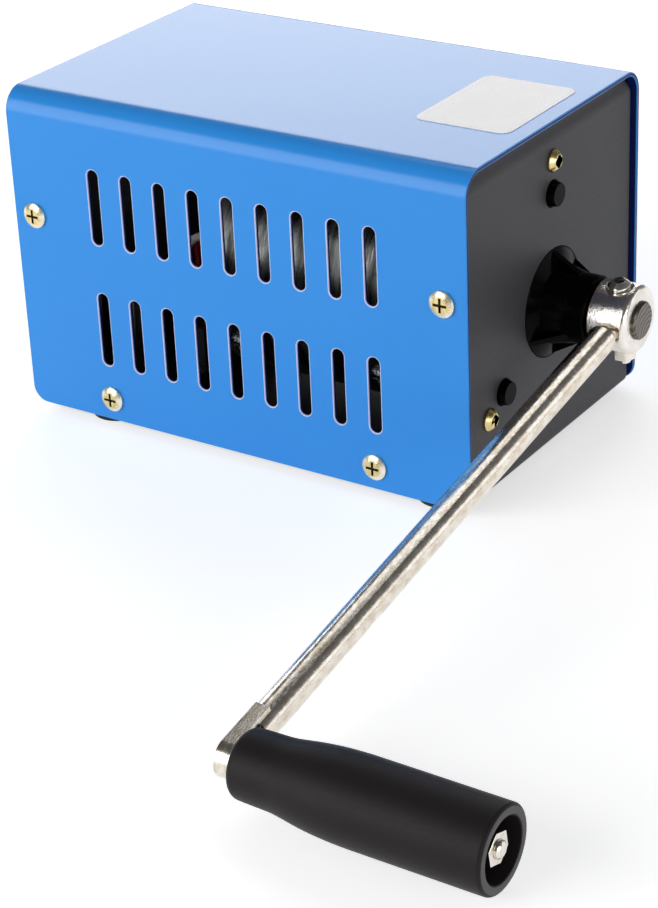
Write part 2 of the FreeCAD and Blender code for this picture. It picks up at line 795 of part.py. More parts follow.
def tooth_points(teeth, widening):
    """Radii and half angles at the root, the start, the middle and the tip of an involute flank."""
    module = size("gear_module")
    pitch = module * teeth / 2
    base = pitch * math.cos(math.radians(size("pressure_angle")))
    slope = math.radians(size("pressure_angle"))
    tip = pitch + module * size("tooth_addendum" if widening < 0 else "tooth_dedendum")
    root = pitch - module * size("tooth_dedendum" if widening < 0 else "tooth_addendum")
    start = max(base, root)

    def half_angle(radius):
        roll = math.acos(min(1, base / radius))
        at_pitch = math.pi / (2 * teeth) + widening / (2 * pitch)
        return at_pitch + math.tan(slope) - slope - math.tan(roll) + roll

    middle = (start + tip) / 2
    return root, [(radius, half_angle(radius)) for radius in (start, middle, tip)]


def gear_face(teeth, widening):
    """A gear's outline in the YZ plane, with a tooth centred on Y. The widening is the tooth's, on the pitch line."""
    root, flank = tooth_points(teeth, widening)

    def point(radius, angle):
        return Vector(0, radius * math.cos(angle), radius * math.sin(angle))

    edges = []
    step = 2 * math.pi / teeth
    for i in range(teeth):
        centre = i * step
        rising = [point(radius, centre - half) for radius, half in flank]
        falling = [point(radius, centre + half) for radius, half in reversed(flank)]
        foot = point(root, centre - flank[0][1])
        toe = point(root, centre + flank[0][1])
        next_foot = point(root, centre + step - flank[0][1])
        if flank[0][0] > root + 1e-6:
            edges.append(Part.LineSegment(foot, rising[0]).toShape())
        edges.append(Part.Arc(*rising).toShape())
        edges.append(Part.Arc(rising[2], point(flank[2][0], centre), falling[0]).toShape())
        edges.append(Part.Arc(*falling).toShape())
        if flank[0][0] > root + 1e-6:
            edges.append(Part.LineSegment(falling[2], toe).toShape())
        edges.append(Part.Arc(toe, point(root, centre + step / 2), next_foot).toShape())
    return Part.Face(Part.Wire(edges))


def gear_solid(teeth, widening, length):
    return gear_face(teeth, widening).extrude(Vector(length, 0, 0))


def make_housing():
    """Gearbox housing: the ring gear, the screw lugs, the back wall and the spigot for the can."""
    cup = turned([
        (SPIGOT_BACK, "spigot_bore"), (SPIGOT_BACK, SPIGOT_RADIUS), (WALL_BACK, SPIGOT_RADIUS),
        (WALL_BACK, "gearbox_radius"), (FLANGE_BACK, "gearbox_radius"),
        (FLANGE_BACK, "rotor_bush_radius"), (WALL_BACK, "rotor_bush_radius"), (WALL_BACK, "spigot_bore")])
    pieces = [cup]
    holes = []
    lug_back = f"{FLANGE_BACK} - lug_length"
    for angle in angles("planet_count", "lug_start_angle"):
        y, z = around("lug_circle", angle)
        pieces.append(rod("X", "lug_radius", "lug_length", lug_back, y, z))
        pieces.append(lug_web(angle, lug_back, "lug_length"))
        holes.append(rod("X", "m4_radius", "lug_length", lug_back, y, z))
        holes.append(can_screw_hole(f"{WALL_BACK} - can_screw_inset", angle))
    blank = cut(join(pieces), holes)
    doc.recompute()
    space = gear_solid(int(size(RING_TEETH)), size("tooth_backlash"), size(f"{FLANGE_BACK} - {WALL_FRONT}"))
    space.translate(Vector(size(WALL_FRONT), 0, size(CRANK_Z)))
    thing = doc.addObject("Part::Feature", "housing")
    thing.Shape = blank.Shape.cut(space)
    return node(thing, "gearbox_housing")


def can_screw_hole(x, angle):
    """A radial hole for one of the screws that hold the can."""
    y, z = around("spigot_bore - 1", angle)
    hole = rod("Z", "m3_radius", f"{CAN_BORE} - spigot_bore + 1", x, y, z)
    place(hole, x, y, z, X_AXIS, f"{angle} - 90")
    return hole


def make_bush(name, x, length, outer, inner):
    return node(tube(outer, f"{inner} + running_clearance", x, length), name)


def make_gearbox_screws():
    screw = screw_shape("m4_radius", "m4_length", "m4_head_radius", "m4_head_height", "m4_head_height / 3")
    places = []
    for angle in angles("planet_count", "lug_start_angle"):
        y, z = around("lug_circle", angle)
        places.append(Placement(Vector(size(PANEL_OUT), size(y), size(z)), Rotation(Y_AXIS, 90)))
    return node(copies(screw, places), "gearbox_screws")


def make_carrier(name, x, bore):
    disc = rod("X", CARRIER_RADIUS, "carrier_thickness", x, "0", CRANK_Z)
    holes = [rod("X", bore, "carrier_thickness", x, "0", CRANK_Z)]
    for angle in angles("planet_count"):
        y, z = around(PLANET_CIRCLE, angle)
        holes.append(rod("X", "pin_radius", "carrier_thickness", x, y, z))
    return node(cut(disc, holes), name)


def make_pins(name, gears_back, carrier_front):
    pin = rod("X", "pin_radius", f"{carrier_front} - {gears_back}", gears_back)
    doc.recompute()
    places = []
    for angle in angles("planet_count"):
        y, z = around(PLANET_CIRCLE, angle)
        places.append(Placement(Vector(0, size(y), size(z)), Rotation()))
    return node(copies(pin.Shape, places), name)


def make_planets(stage, gears_back):
    """The planet gears of one stage, each with a tooth that points away from the sun."""
    solid = gear_solid(int(size("planet_teeth")), -size("tooth_backlash"), size("gear_width"))
    bore = Part.makeCylinder(size("pin_radius + running_clearance"), size("gear_width"), Vector(), X_AXIS)
    for letter, angle in zip("abcdefgh", angles("planet_count")):
        y, z = around(PLANET_CIRCLE, angle)
        thing = doc.addObject("Part::Feature", "planet")
        thing.Shape = solid.cut(bore)
        thing.Placement = Placement(Vector(size(gears_back), size(y), size(z)), Rotation(X_AXIS, size(angle)))
        node(thing, f"planet_{stage}{letter}")


def make_sun(name, x, length, bore=None, spigot=None):
    """A sun gear with a tooth at each planet, and a bore or a spigot."""
    shape = gear_solid(int(size("sun_teeth")), -size("tooth_backlash"), length)
    if bore:
        shape = shape.cut(Part.makeCylinder(bore, length, Vector(), X_AXIS))
    if spigot:
        radius, reach = spigot
        shape = shape.fuse(Part.makeCylinder(radius, reach, Vector(-reach, 0, 0), X_AXIS))
    thing = doc.addObject("Part::Feature", "sun")
    thing.Shape = shape
    thing.Placement = Placement(Vector(x, 0, size(CRANK_Z)), Rotation())
    return node(thing, name)


# Generator

def make_can():
    can = tube("can_radius", CAN_BORE, CAN_BACK, CAN_LENGTH)
    holes = []
    for angle in angles("planet_count", "can_screw_circle_start"):
        for x in (f"{WALL_BACK} - can_screw_inset", f"{CAN_BACK} + can_screw_inset"):
            y, z = around("spigot_bore", angle)
            hole = rod("Z", "m3_hole_radius", "can_radius - spigot_bore + 1", x, y, z)
            place(hole, x, y, z, X_AXIS, f"{angle} - 90")
            holes.append(hole)
    return node(cut(can, holes), "generator_can")


def make_can_screws():
    screw = screw_shape("m3_radius", "can_screw_length", "can_screw_head_radius", "can_screw_head_height",
                        "can_screw_head_height / 2")
    places = []
    for angle in angles("planet_count", "can_screw_circle_start"):
        for x in (f"{WALL_BACK} - can_screw_inset", f"{CAN_BACK} + can_screw_inset"):
            seat = Placement(Vector(size(x), 0, size("can_radius") + size("spigot_clearance")), Rotation())
            places.append(outward(angle).multiply(seat))
    return node(copies(screw, places), "can_screws")


def make_end_bell():
    bell = turned([
        (BELL_HUB_BACK, "rotor_bush_radius"), (BELL_HUB_BACK, "bell_hub_radius"),
        (BELL_BACK, "bell_hub_radius"), (BELL_BACK, "can_radius"), (CAN_BACK, "can_radius"),
        (CAN_BACK, SPIGOT_RADIUS), (BELL_SPIGOT_FRONT, SPIGOT_RADIUS), (BELL_SPIGOT_FRONT, "spigot_bore"),
        (CAN_BACK, "spigot_bore"), (CAN_BACK, "rotor_bush_radius")])
    holes = []
    for angle in angles("planet_count", "can_screw_circle_start"):
        holes.append(can_screw_hole(f"{CAN_BACK} + can_screw_inset", angle))
    for y in wire_rows():
        holes.append(rod("X", "wire_radius", "bell_thickness", BELL_BACK, y, WIRE_Z))
    return node(cut(bell, holes), "end_bell")


def make_stator():
    """The laminated core: a yoke ring, teeth and their shoes."""
    length = size(STATOR_LENGTH)
    outer = size(SPIGOT_RADIUS)
    bore = size("stator_bore")
    yoke = size("stator_yoke")
    width = size("stator_tooth_width")
    shoe = size("stator_shoe")
    core = Part.makeCylinder(outer, length, Vector(), X_AXIS)
    core = core.cut(Part.makeCylinder(outer - yoke, length, Vector(), X_AXIS))
    count = int(size("stator_teeth"))
    span = 360 / count - math.degrees(size("stator_slot_opening") / bore)
    inner = Part.makeCylinder(bore, length, Vector(), X_AXIS)
    ring = Part.makeCylinder(bore + shoe, length, Vector(), X_AXIS, span).cut(inner)
    tooth = Part.makeBox(length, width, outer - yoke / 2 - bore, Vector(0, -width / 2, bore)).cut(inner)
    pieces = []
    for i in range(count):
        turn = 360 * i / count
        one = tooth.copy()
        one.rotate(Vector(), X_AXIS, turn)
        pad = ring.copy()
        pad.rotate(Vector(), X_AXIS, turn + shoe_turn(ring))
        pieces += [one, pad]
    thing = doc.addObject("Part::Feature", "stator")
    thing.Shape = core.multiFuse(pieces).removeSplitter()
    thing.Placement = Placement(Vector(size(STATOR_BACK), 0, size(CRANK_Z)), Rotation())
    return node(thing, "stator_core")


def shoe_turn(ring):
    """The turn about X that centres a shoe on Z."""
    middle = ring.CenterOfGravity
    return math.degrees(math.atan2(middle.y, middle.z))


def make_coils():
    """One coil round each tooth: a rounded rectangular ring in the slots and over both faces of the core."""
    length = size(STATOR_LENGTH)
    width = size("stator_tooth_width")
    gap = size("coil_clearance")
    wall = size("coil_thickness")
    low = size("stator_bore + stator_shoe + coil_clearance")
    high = size(f"{SPIGOT_RADIUS} - stator_yoke") - 1
    outer = Part.makeBox(length + 2 * (gap + wall), width + 2 * (gap + wall), high - low,
                         Vector(-gap - wall, -width / 2 - gap - wall, low))
    upright = [edge for edge in outer.Edges if abs(edge.tangentAt(edge.FirstParameter).z) > 0.9]
    outer = outer.makeFillet(wall, upright)
    inner = Part.makeBox(length + 2 * gap, width + 2 * gap, high - low, Vector(-gap, -width / 2 - gap, low))
    coil = outer.cut(inner)
    centre = Placement(Vector(size(STATOR_BACK), 0, size(CRANK_Z)), Rotation())
    count = int(size("stator_teeth"))
    places = [centre.multiply(Placement(Vector(), Rotation(X_AXIS, 360 * i / count))) for i in range(count)]
    return node(copies(coil, places), "stator_coils")


def make_rotor():
    shaft_back = f"({BELL_HUB_BACK} + bell_hub_length / 2)"
    node(rod("X", "rotor_shaft_radius", f"{GEARS_2_FRONT} - {shaft_back}", shaft_back, "0", CRANK_Z),
         "rotor_shaft")
    node(tube("rotor_radius", "rotor_shaft_radius", STATOR_BACK, STATOR_LENGTH), "rotor_core")
    inner = size("rotor_radius + glue_gap")
    length = size(STATOR_LENGTH)
    arc = Part.makeCylinder(inner + size("magnet_thickness"), length, Vector(), X_AXIS, size("magnet_span"))
    arc = arc.cut(Part.makeCylinder(inner, length, Vector(), X_AXIS))
    centre = Placement(Vector(size(STATOR_BACK), 0, size(CRANK_Z)), Rotation())
    count = int(size("magnet_count"))
    places = [centre.multiply(Placement(Vector(), Rotation(X_AXIS, 360 * i / count))) for i in range(count)]
    node(copies(arc, places), "rotor_magnets")


# Crank, in a frame of its own: the shaft's axis is X and the arm points along Y

def on_crank(thing, name):
    place(thing, z=CRANK_Z, axis=X_AXIS, angle="rest_angle")
    return node(thing, name)


def make_crank_shaft():
    end = f"({SHAFT_END} - edge_chamfer)"
    body = turned([
        (CARRIER_1_BACK, "0"), (CARRIER_1_BACK, "crank_shaft_radius"), (end, "crank_shaft_radius"),
        (SHAFT_END, "crank_shaft_radius - edge_chamfer"), (SHAFT_END, "0")], z="0")
    hole = rod("Z", "m3_hole_radius", "4 * crank_shaft_radius", ARM_X, "0", "-2 * crank_shaft_radius")
    return on_crank(cut(body, [hole]), "crank_shaft")


def make_hub():
    body = turned([
        (HUB_BACK, "crank_shaft_radius"), (HUB_BACK, "hub_radius"), (HUB_FRONT, "hub_radius"),
        (HUB_FRONT, "crank_shaft_radius")], z="0")
    round_edges(body, "hub_edge_radius", ring_edge(HUB_FRONT, "hub_radius"))
    washer_seat = rod("Z", "hub_washer_radius + part_clearance", "hub_radius", ARM_X, "0", "-hub_flat - hub_radius")
    nut_seat = rod("Z", "hub_washer_radius + part_clearance", "hub_radius", ARM_X, "0", "hub_flat")
    screw_hole = rod("Z", "m3_hole_radius", "2 * hub_radius", ARM_X, "0", "-hub_radius")
    arm_hole = rod("Y", "arm_neck_radius", "hub_radius", ARM_X, "0", "0")
    return on_crank(cut(body, [washer_seat, nut_seat, screw_hole, arm_hole]), "hub")


def make_hub_screw():
    seat = "(hub_flat + hub_washer_thickness)"
    screw = screw_shape("m3_radius", f"({seat} + hub_screw_tip)", "hub_screw_head_radius",
                        "hub_screw_head_height", "hub_screw_head_height / 2")
    at_rest = Placement(Vector(0, 0, size(CRANK_Z)), Rotation(X_AXIS, size("rest_angle")))
    seat_place = Placement(Vector(size(ARM_X), 0, -size(seat)), Rotation(X_AXIS, 180))
    node(copies(screw, [at_rest.multiply(seat_place)]), "hub_screw")
    ring = cut(rod("Z", "hub_washer_radius", "hub_washer_thickness", ARM_X, "0", f"-{seat}"),
               [rod("Z", "m3_hole_radius", "hub_washer_thickness", ARM_X, "0", f"-{seat}")])
    on_crank(ring, "hub_washer")
    body = prism("Z", "hub_nut_across", "hub_nut_height", ARM_X, "0", "hub_flat")
    bore = rod("Z", "m3_radius", "hub_nut_height", ARM_X, "0", "hub_flat")
    on_crank(cut(body, [bore]), "hub_nut")


def make_arm():
    """The round arm: a threaded neck in the hub, the rod, and a flattened tab for the handle's axle."""
    tab_start = "(crank_radius - tab_length)"
    neck_start = "(crank_shaft_radius + part_clearance)"
    neck = rod("Y", "arm_neck_radius", f"arm_shoulder - {neck_start}", ARM_X, neck_start, "0")
    bar = rod("Y", "arm_radius", f"{tab_start} - arm_shoulder", ARM_X, "arm_shoulder", "0")
    tab = box(TAB_BACK, f"{tab_start} - tab_length / 2", "-tab_width / 2",
              "tab_thickness", "tab_length * 3 / 2", "tab_width")
    tip = rod("X", "tab_width / 2", "tab_thickness", TAB_BACK, "crank_radius", "0")
    hole = rod("X", "arm_neck_radius", "tab_thickness", TAB_BACK, "crank_radius", "0")
    return on_crank(cut(join([neck, bar, tab, tip]), [hole]), "crank_arm")


def on_handle(thing, name):
    """Put a piece made about X on the axle at the arm's end."""
    y, z = around("crank_radius", "rest_angle")
    place(thing, y=y, z=z, axis=X_AXIS, angle="rest_angle")
    return node(thing, name)


def make_axle():
    end = f"({HANDLE_NUT_FRONT} + axle_proud)"
    body = turned([
        (TAB_BACK, "0"), (TAB_BACK, "arm_neck_radius"), (TAB_FRONT, "arm_neck_radius"),
        (TAB_FRONT, "axle_radius"), (AXLE_SHOULDER, "axle_radius"), (AXLE_SHOULDER, "axle_thread_radius"),
        (f"{end} - edge_chamfer", "axle_thread_radius"), (end, "axle_thread_radius - edge_chamfer"),
        (end, "0")], z="0")
    on_handle(body, "handle_axle")
    on_handle(tube("axle_washer_radius", "axle_radius", TAB_FRONT, "axle_washer_thickness", z="0"),
              "inner_washer")
    on_handle(tube("axle_washer_radius", "axle_thread_radius", AXLE_SHOULDER, "axle_washer_thickness", z="0"),
              "outer_washer")
    nut = cut(prism("X", "handle_nut_across", "handle_nut_height", HANDLE_NUT_BACK, "0", "0"),
              [rod("X", "axle_thread_radius", "handle_nut_height", HANDLE_NUT_BACK)])
    on_handle(nut, "handle_nut")


def make_handle():
    """The grip: a straight inner end, a swelling curve, and a wide outer end with a recess for the nut."""
    back = size(HANDLE_BACK)
    front = size(HANDLE_FRONT)
    floor = size(RECESS_FLOOR)
    bore = size("axle_radius + running_clearance")
    waist = size("handle_waist_radius")
    grip = size("handle_grip_radius")
    swell = back + size("handle_waist_length")

    def point(x, radius):
        return Vector(x, radius, 0)

    curve = Part.BezierCurve()
    curve.setPoles([
        point(swell, waist), point(swell + size("handle_swell_lead"), waist),
        point(swell + size("handle_swell_rise"), grip), point(swell + size("handle_swell_length"), grip)])
    ends = [
        point(back, bore), point(back, size("handle_inner_radius")), point(swell, waist)]
    rest = [
        point(swell + size("handle_swell_length"), grip), point(front, size("handle_end_radius")),
        point(front, size("recess_radius")), point(floor, size("recess_radius")), point(floor, bore),
        point(back, bore)]
    edges = Part.makePolygon(ends).Edges + [curve.toShape()] + Part.makePolygon(rest).Edges
    solid = Part.Face(Part.Wire(edges)).revolve(Vector(), X_AXIS, 360)
    tests = [ring_edge(HANDLE_BACK, "handle_inner_radius"), ring_edge(HANDLE_FRONT, "handle_end_radius")]
    solid = solid.makeFillet(size("handle_edge_radius"),
                             [edge for edge in solid.Edges if any(test(edge) for test in tests)])
    thing = doc.addObject("Part::Feature", "grip")
    thing.Shape = solid
    return on_handle(thing, "handle")


# Output board and what stands on it

def standoff_places():
    return [(x, y)
            for x in (f"({BOARD_BACK} + standoff_inset)", f"({BOARD_FRONT} - standoff_inset)")
            for y in ("(board_width / 2 - standoff_inset)", "(standoff_inset - board_width / 2)")]


def make_board():
    slab = box(BOARD_BACK, "-board_width / 2", BOARD_BOTTOM, "board_length", "board_width", "board_thickness")
    holes = [rod("Z", "m3_hole_radius", "board_thickness", x, y, BOARD_BOTTOM) for x, y in standoff_places()]
    node(cut(slab, holes), "circuit_board")
    post = cut(rod("Z", "standoff_radius", "standoff_height"), [rod("Z", "m3_radius", "standoff_height")])
    doc.recompute()
    seats = [Vector(size(x), size(y), 0) for x, y in standoff_places()]
    low = Vector(0, 0, size(FLOOR_TOP))
    high = Vector(0, 0, size(BOARD_TOP))
    node(copies(post.Shape, [Placement(seat + low, Rotation()) for seat in seats]), "board_standoffs")
    screw = screw_shape("m3_radius", "board_screw_length", "can_screw_head_radius", "can_screw_head_height",
                        "can_screw_head_height / 2")
    node(copies(screw, [Placement(seat + high, Rotation()) for seat in seats]), "board_screws")


def make_usb_socket():
    outer = box(f"-{PANEL_OUT}", "usb_y - usb_width / 2", BOARD_TOP, "usb_depth", "usb_width", "usb_height")
    hollow = box(f"-{PANEL_OUT}", "usb_y - usb_width / 2 + usb_wall", f"{BOARD_TOP} + usb_wall",
                 "usb_depth - usb_wall", "usb_width - 2 * usb_wall", "usb_height - 2 * usb_wall")
    tongue = box(f"-{PANEL_OUT} + usb_depth - usb_wall - usb_tongue_depth", "usb_y - usb_tongue_width / 2",
                 f"{BOARD_TOP} + usb_height - 2 * usb_wall - usb_tongue_thickness",
                 "usb_tongue_depth + usb_wall / 2", "usb_tongue_width", "usb_tongue_thickness")
    return node(join([cut(outer, [hollow]), tongue]), "usb_socket")


def make_dc_socket():
    z = f"({BOARD_TOP} + dc_bore_height)"
    outer = box(f"-{PANEL_OUT}", "dc_y - dc_width / 2", BOARD_TOP, "dc_depth", "dc_width", "dc_height")
    hollow = rod("X", "dc_bore_radius", "dc_bore_depth", f"-{PANEL_OUT}", "dc_y", z)
    pin = rod("X", "dc_pin_radius", "dc_bore_depth", f"-{PANEL_OUT} + edge_chamfer", "dc_y", z)
    return node(join([cut(outer, [hollow]), pin]), "dc_socket")


def make_lamp():
    z = f"({BOARD_TOP} + lamp_block_height / 2)"
    block = box(BOARD_BACK, "lamp_y - lamp_block / 2", BOARD_TOP, "lamp_block", "lamp_block", "lamp_block_height")
    stem = rod("-X", "lamp_radius", f"{PANEL_OUT} + lamp_radius / 2 + {BOARD_BACK} + lamp_block / 2",
               f"{BOARD_BACK} + lamp_block / 2", "lamp_y", z)
    return node(join([block, stem]), "indicator_lamp")


def wire_rows():
    return ["(terminal_y - terminal_pitch)", "terminal_y", "(terminal_y + terminal_pitch)"]


def make_terminal_block():
    width = "(3 * terminal_pitch)"
    block = box(f"{TERMINAL_X} - terminal_depth / 2", f"terminal_y - {width} / 2", BOARD_TOP,
                "terminal_depth", width, "terminal_height")
    holes = []
    for y in wire_rows():
        holes.append(rod("Z", "wire_radius", "wire_socket_depth", WIRE_X, y, f"{TERMINAL_TOP} - wire_socket_depth"))
        holes.append(rod("Z", "terminal_screw_radius", "edge_chamfer", f"{TERMINAL_X} + wire_entry_offset", y,
                         f"{TERMINAL_TOP} - edge_chamfer"))
    return node(cut(block, holes), "terminal_block")


def make_wires():
    """Three leads from the end bell to the terminals, each a straight run, one wide bend and a straight drop."""
    start_x = size(CAN_BACK)
    x = size(WIRE_X)
    z = size(WIRE_Z)
    foot = size(f"{TERMINAL_TOP} - wire_socket_depth")
    bend = 0.45 * min(size(BELL_BACK) - x, z - foot)
    cosine = math.cos(math.pi / 4)
    for name, row in zip(("phase_wire_white", "phase_wire_red", "phase_wire_yellow"), wire_rows()):
        y = size(row)
        leave = Vector(start_x, y, z)
        bend_in = Vector(x + bend, y, z)
        middle = Vector(x + bend * (1 - cosine), y, z - bend * (1 - cosine))
        bend_out = Vector(x, y, z - bend)
        path = Part.Wire([
            Part.LineSegment(leave, bend_in).toShape(),
            Part.Arc(bend_in, middle, bend_out).toShape(),
            Part.LineSegment(bend_out, Vector(x, y, foot)).toShape()])
        section = Part.Wire([Part.Circle(leave, X_AXIS, size("wire_radius")).toShape()])
        thing = doc.addObject("Part::Feature", "wire")
        thing.Shape = path.makePipeShell([section], True, False)
        area = math.pi * size("wire_radius") ** 2
        if abs(thing.Shape.Volume / (area * path.Length) - 1) > 0.01:
            raise RuntimeError("a wire's volume is not its section times its length")
        node(thing, name)


def make_heat_sink():
    """An upright web with fins towards the side of the box, and the rectifier on its other face."""
    back = f"({HEAT_SINK_X} - heat_sink_length / 2)"
    side = "(heat_sink_y - heat_sink_width / 2)"
    web = box(back, f"{side} + heat_sink_width - heat_sink_web", BOARD_TOP,
              "heat_sink_length", "heat_sink_web", "heat_sink_height")
    pieces = [web]
    count = int(size("heat_sink_fins"))
    for i in range(count):
        x = f"{back} + (heat_sink_length - heat_sink_fin) * {i} / {count - 1}"
        pieces.append(box(x, side, BOARD_TOP, "heat_sink_fin", "heat_sink_width", "heat_sink_height"))
    node(join(pieces), "heat_sink")
    node(box(f"{HEAT_SINK_X} - rectifier_length / 2", f"{side} + heat_sink_width", BOARD_TOP,
             "rectifier_length", "rectifier_thickness", "rectifier_height"), "rectifier")


def make_capacitors():
    def top_edge(first, second):
        return min(first.z, second.z) > size("capacitor_height") - 1e-4
    can = rounded(rod("Z", "capacitor_radius", "capacitor_height"), "capacitor_edge_radius", top_edge)
    doc.recompute()
    places = []
    for i in range(int(size("capacitor_count"))):
        y = size("capacitor_y") + i * size("capacitor_pitch")
        places.append(Placement(Vector(size(CAPACITOR_X), y, size(BOARD_TOP)), Rotation()))
    return node(copies(can.Shape, places), "capacitors")


def make_choke():
    ring = doc.addObject("Part::Torus", "choke")
    bind(ring, "Radius1", "choke_ring_radius")
    bind(ring, "Radius2", "choke_wire_radius")
    place(ring, CHOKE_X, "choke_y", f"{BOARD_TOP} + choke_wire_radius")
    return node(ring, "choke")


def check_everything():
    """Stop if any object failed to build."""
    doc.recompute()
    for thing in doc.Objects:
        if "Invalid" in thing.State or "Error" in thing.State:
            raise RuntimeError(f"{thing.Label} failed: {thing.State}")
    for thing in nodes:
        if thing.Shape.isNull() or not thing.Shape.isValid():
            raise RuntimeError(f"{thing.Label} has no valid shape")


def write_parts():
    os.makedirs("parts", exist_ok=True)
    for thing in nodes:
        thing.Shape.exportStep(f"parts/{thing.Label}.step")
        print(f"{thing.Label}: {len(thing.Shape.Solids)} solids, {thing.Shape.Volume:.1f} mm3")


def main():
    make_cover()
    make_chassis()
    m3_screw = screw_shape("m3_radius", "m3_length", "m3_head_radius", "m3_head_height", "m3_head_rim")
    make_cover_screws(m3_screw)
    make_feet()
    make_label()

    make_gearbox_cover()
    make_bush("crank_bush_front", f"{BOSS_END} - crank_bush_front_length", "crank_bush_front_length",
              "crank_bush_radius", "crank_shaft_radius")
    make_bush("crank_bush_rear", FLANGE_BACK, "crank_bush_rear_length", "crank_bush_radius", "crank_shaft_radius")
    make_gearbox_screws()
    make_housing()
    make_carrier("carrier_1", CARRIER_1_BACK, "crank_shaft_radius")
    make_pins("planet_pins_1", GEARS_1_BACK, CARRIER_1_FRONT)
    make_planets(1, GEARS_1_BACK)
    make_sun("sun_1", size(CARRIER_2_FRONT), size(f"{GEARS_1_FRONT} - {CARRIER_2_FRONT}"),
             spigot=(size("sun_spigot_radius"), size("carrier_thickness")))
    make_carrier("carrier_2", CARRIER_2_BACK, "sun_spigot_radius")
    make_pins("planet_pins_2", GEARS_2_BACK, CARRIER_2_FRONT)
    make_planets(2, GEARS_2_BACK)
    make_sun("sun_2", size(GEARS_2_BACK), size("gear_width"), bore=size("rotor_shaft_radius"))

    make_bush("rotor_bush_front", WALL_BACK, "housing_wall", "rotor_bush_radius", "rotor_shaft_radius")
    make_can()
    make_can_screws()
    make_end_bell()
    make_bush("rotor_bush_rear", BELL_HUB_BACK, "bell_hub_length + bell_thickness", "rotor_bush_radius",
              "rotor_shaft_radius")
    make_stator()
    make_coils()
    make_rotor()

    make_crank_shaft()
    make_hub()
    make_hub_screw()
    make_arm()
    make_axle()
    make_handle()

    make_board()
    make_usb_socket()
    make_dc_socket()
    make_lamp()
    make_terminal_block()
    make_wires()
    make_heat_sink()
    make_capacitors()
    make_choke()

    check_everything()
    write_parts()


main()
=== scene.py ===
"""Hand crank generator: finishes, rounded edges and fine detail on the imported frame."""
import json
import logging
import math
from dataclasses import dataclass
from enum import Enum, IntEnum
from typing import Optional, Sequence

import bpy
from mathutils import Matrix, Vector

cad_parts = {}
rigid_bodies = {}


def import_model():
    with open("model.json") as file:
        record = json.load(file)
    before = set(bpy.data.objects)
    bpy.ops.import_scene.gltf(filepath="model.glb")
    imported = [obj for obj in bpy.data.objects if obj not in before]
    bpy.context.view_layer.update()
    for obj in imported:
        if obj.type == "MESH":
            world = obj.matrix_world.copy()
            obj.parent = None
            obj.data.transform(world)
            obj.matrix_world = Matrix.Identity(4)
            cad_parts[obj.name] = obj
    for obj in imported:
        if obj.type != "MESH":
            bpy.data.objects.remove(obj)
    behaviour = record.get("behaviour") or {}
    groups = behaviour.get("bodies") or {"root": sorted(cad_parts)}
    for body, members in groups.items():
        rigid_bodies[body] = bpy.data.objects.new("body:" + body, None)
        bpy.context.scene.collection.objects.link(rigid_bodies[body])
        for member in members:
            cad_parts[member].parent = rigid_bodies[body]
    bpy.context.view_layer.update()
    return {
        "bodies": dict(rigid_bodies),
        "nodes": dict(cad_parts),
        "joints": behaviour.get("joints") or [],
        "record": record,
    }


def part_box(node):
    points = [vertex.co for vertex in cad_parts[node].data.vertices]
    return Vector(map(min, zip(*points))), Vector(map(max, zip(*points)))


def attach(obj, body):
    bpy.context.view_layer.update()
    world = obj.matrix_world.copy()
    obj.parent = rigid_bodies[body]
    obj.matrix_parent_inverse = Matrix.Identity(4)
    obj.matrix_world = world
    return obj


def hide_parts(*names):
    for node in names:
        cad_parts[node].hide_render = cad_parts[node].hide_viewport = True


MM = 0.001
# Corners this close are one corner, and faces this nearly level with each other are one face
MERGE_MM = 0.002
LEVEL_DEGREES = 0.5
SHARP_DEGREES = 30.0
BEVEL_SEGMENTS = 2
FLAT_FACE_WEIGHT = 75
# The parts of a noise pattern's range that it really fills
PATCH_SPAN = (0.35, 0.65)
GRAIN_SPAN = (0.3, 0.7)
STRIPE_SPAN = (0.0, 1.0)
LEAST_ROUGHNESS = 0.02
# A wave texture's stripes are this far apart, in metres, at a scale of one
WAVE_SPACING = math.pi / 10
LOG = logging.getLogger("hand_crank_generator")


def linear(colour: str) -> tuple[float, float, float, float]:
    """Turn an sRGB hex colour into the linear values that a shader takes.

    Args:
        colour: Six hex digits after a hash sign.

    Returns:
        Red, green, blue and an alpha of one.
    """
    parts = [int(colour[i:i + 2], 16) / 255 for i in (1, 3, 5)]
    red, green, blue = (part / 12.92 if part <= 0.04045 else ((part + 0.055) / 1.055) ** 2.4 for part in parts)
    return red, green, blue, 1.0


def add_node(tree: bpy.types.NodeTree, kind: str, inputs: Optional[dict] = None,
             links: Optional[dict] = None, **settings: object) -> bpy.types.Node:
    """Add a shader node with its settings, values and links.

    Args:
        tree: The node tree that it goes in.
        kind: Blender's name for the node.
        inputs: Values by socket name or number.
        links: Output sockets by the name or number of the input that each feeds.
        settings: The node's own properties.

    Returns:
        The new node.
    """
    node = tree.nodes.new(kind)
    for name, value in settings.items():
        setattr(node, name, value)
    for name, value in (inputs or {}).items():
        node.inputs[name].default_value = value
    for name, source in (links or {}).items():
        tree.links.new(source, node.inputs[name])
    return node


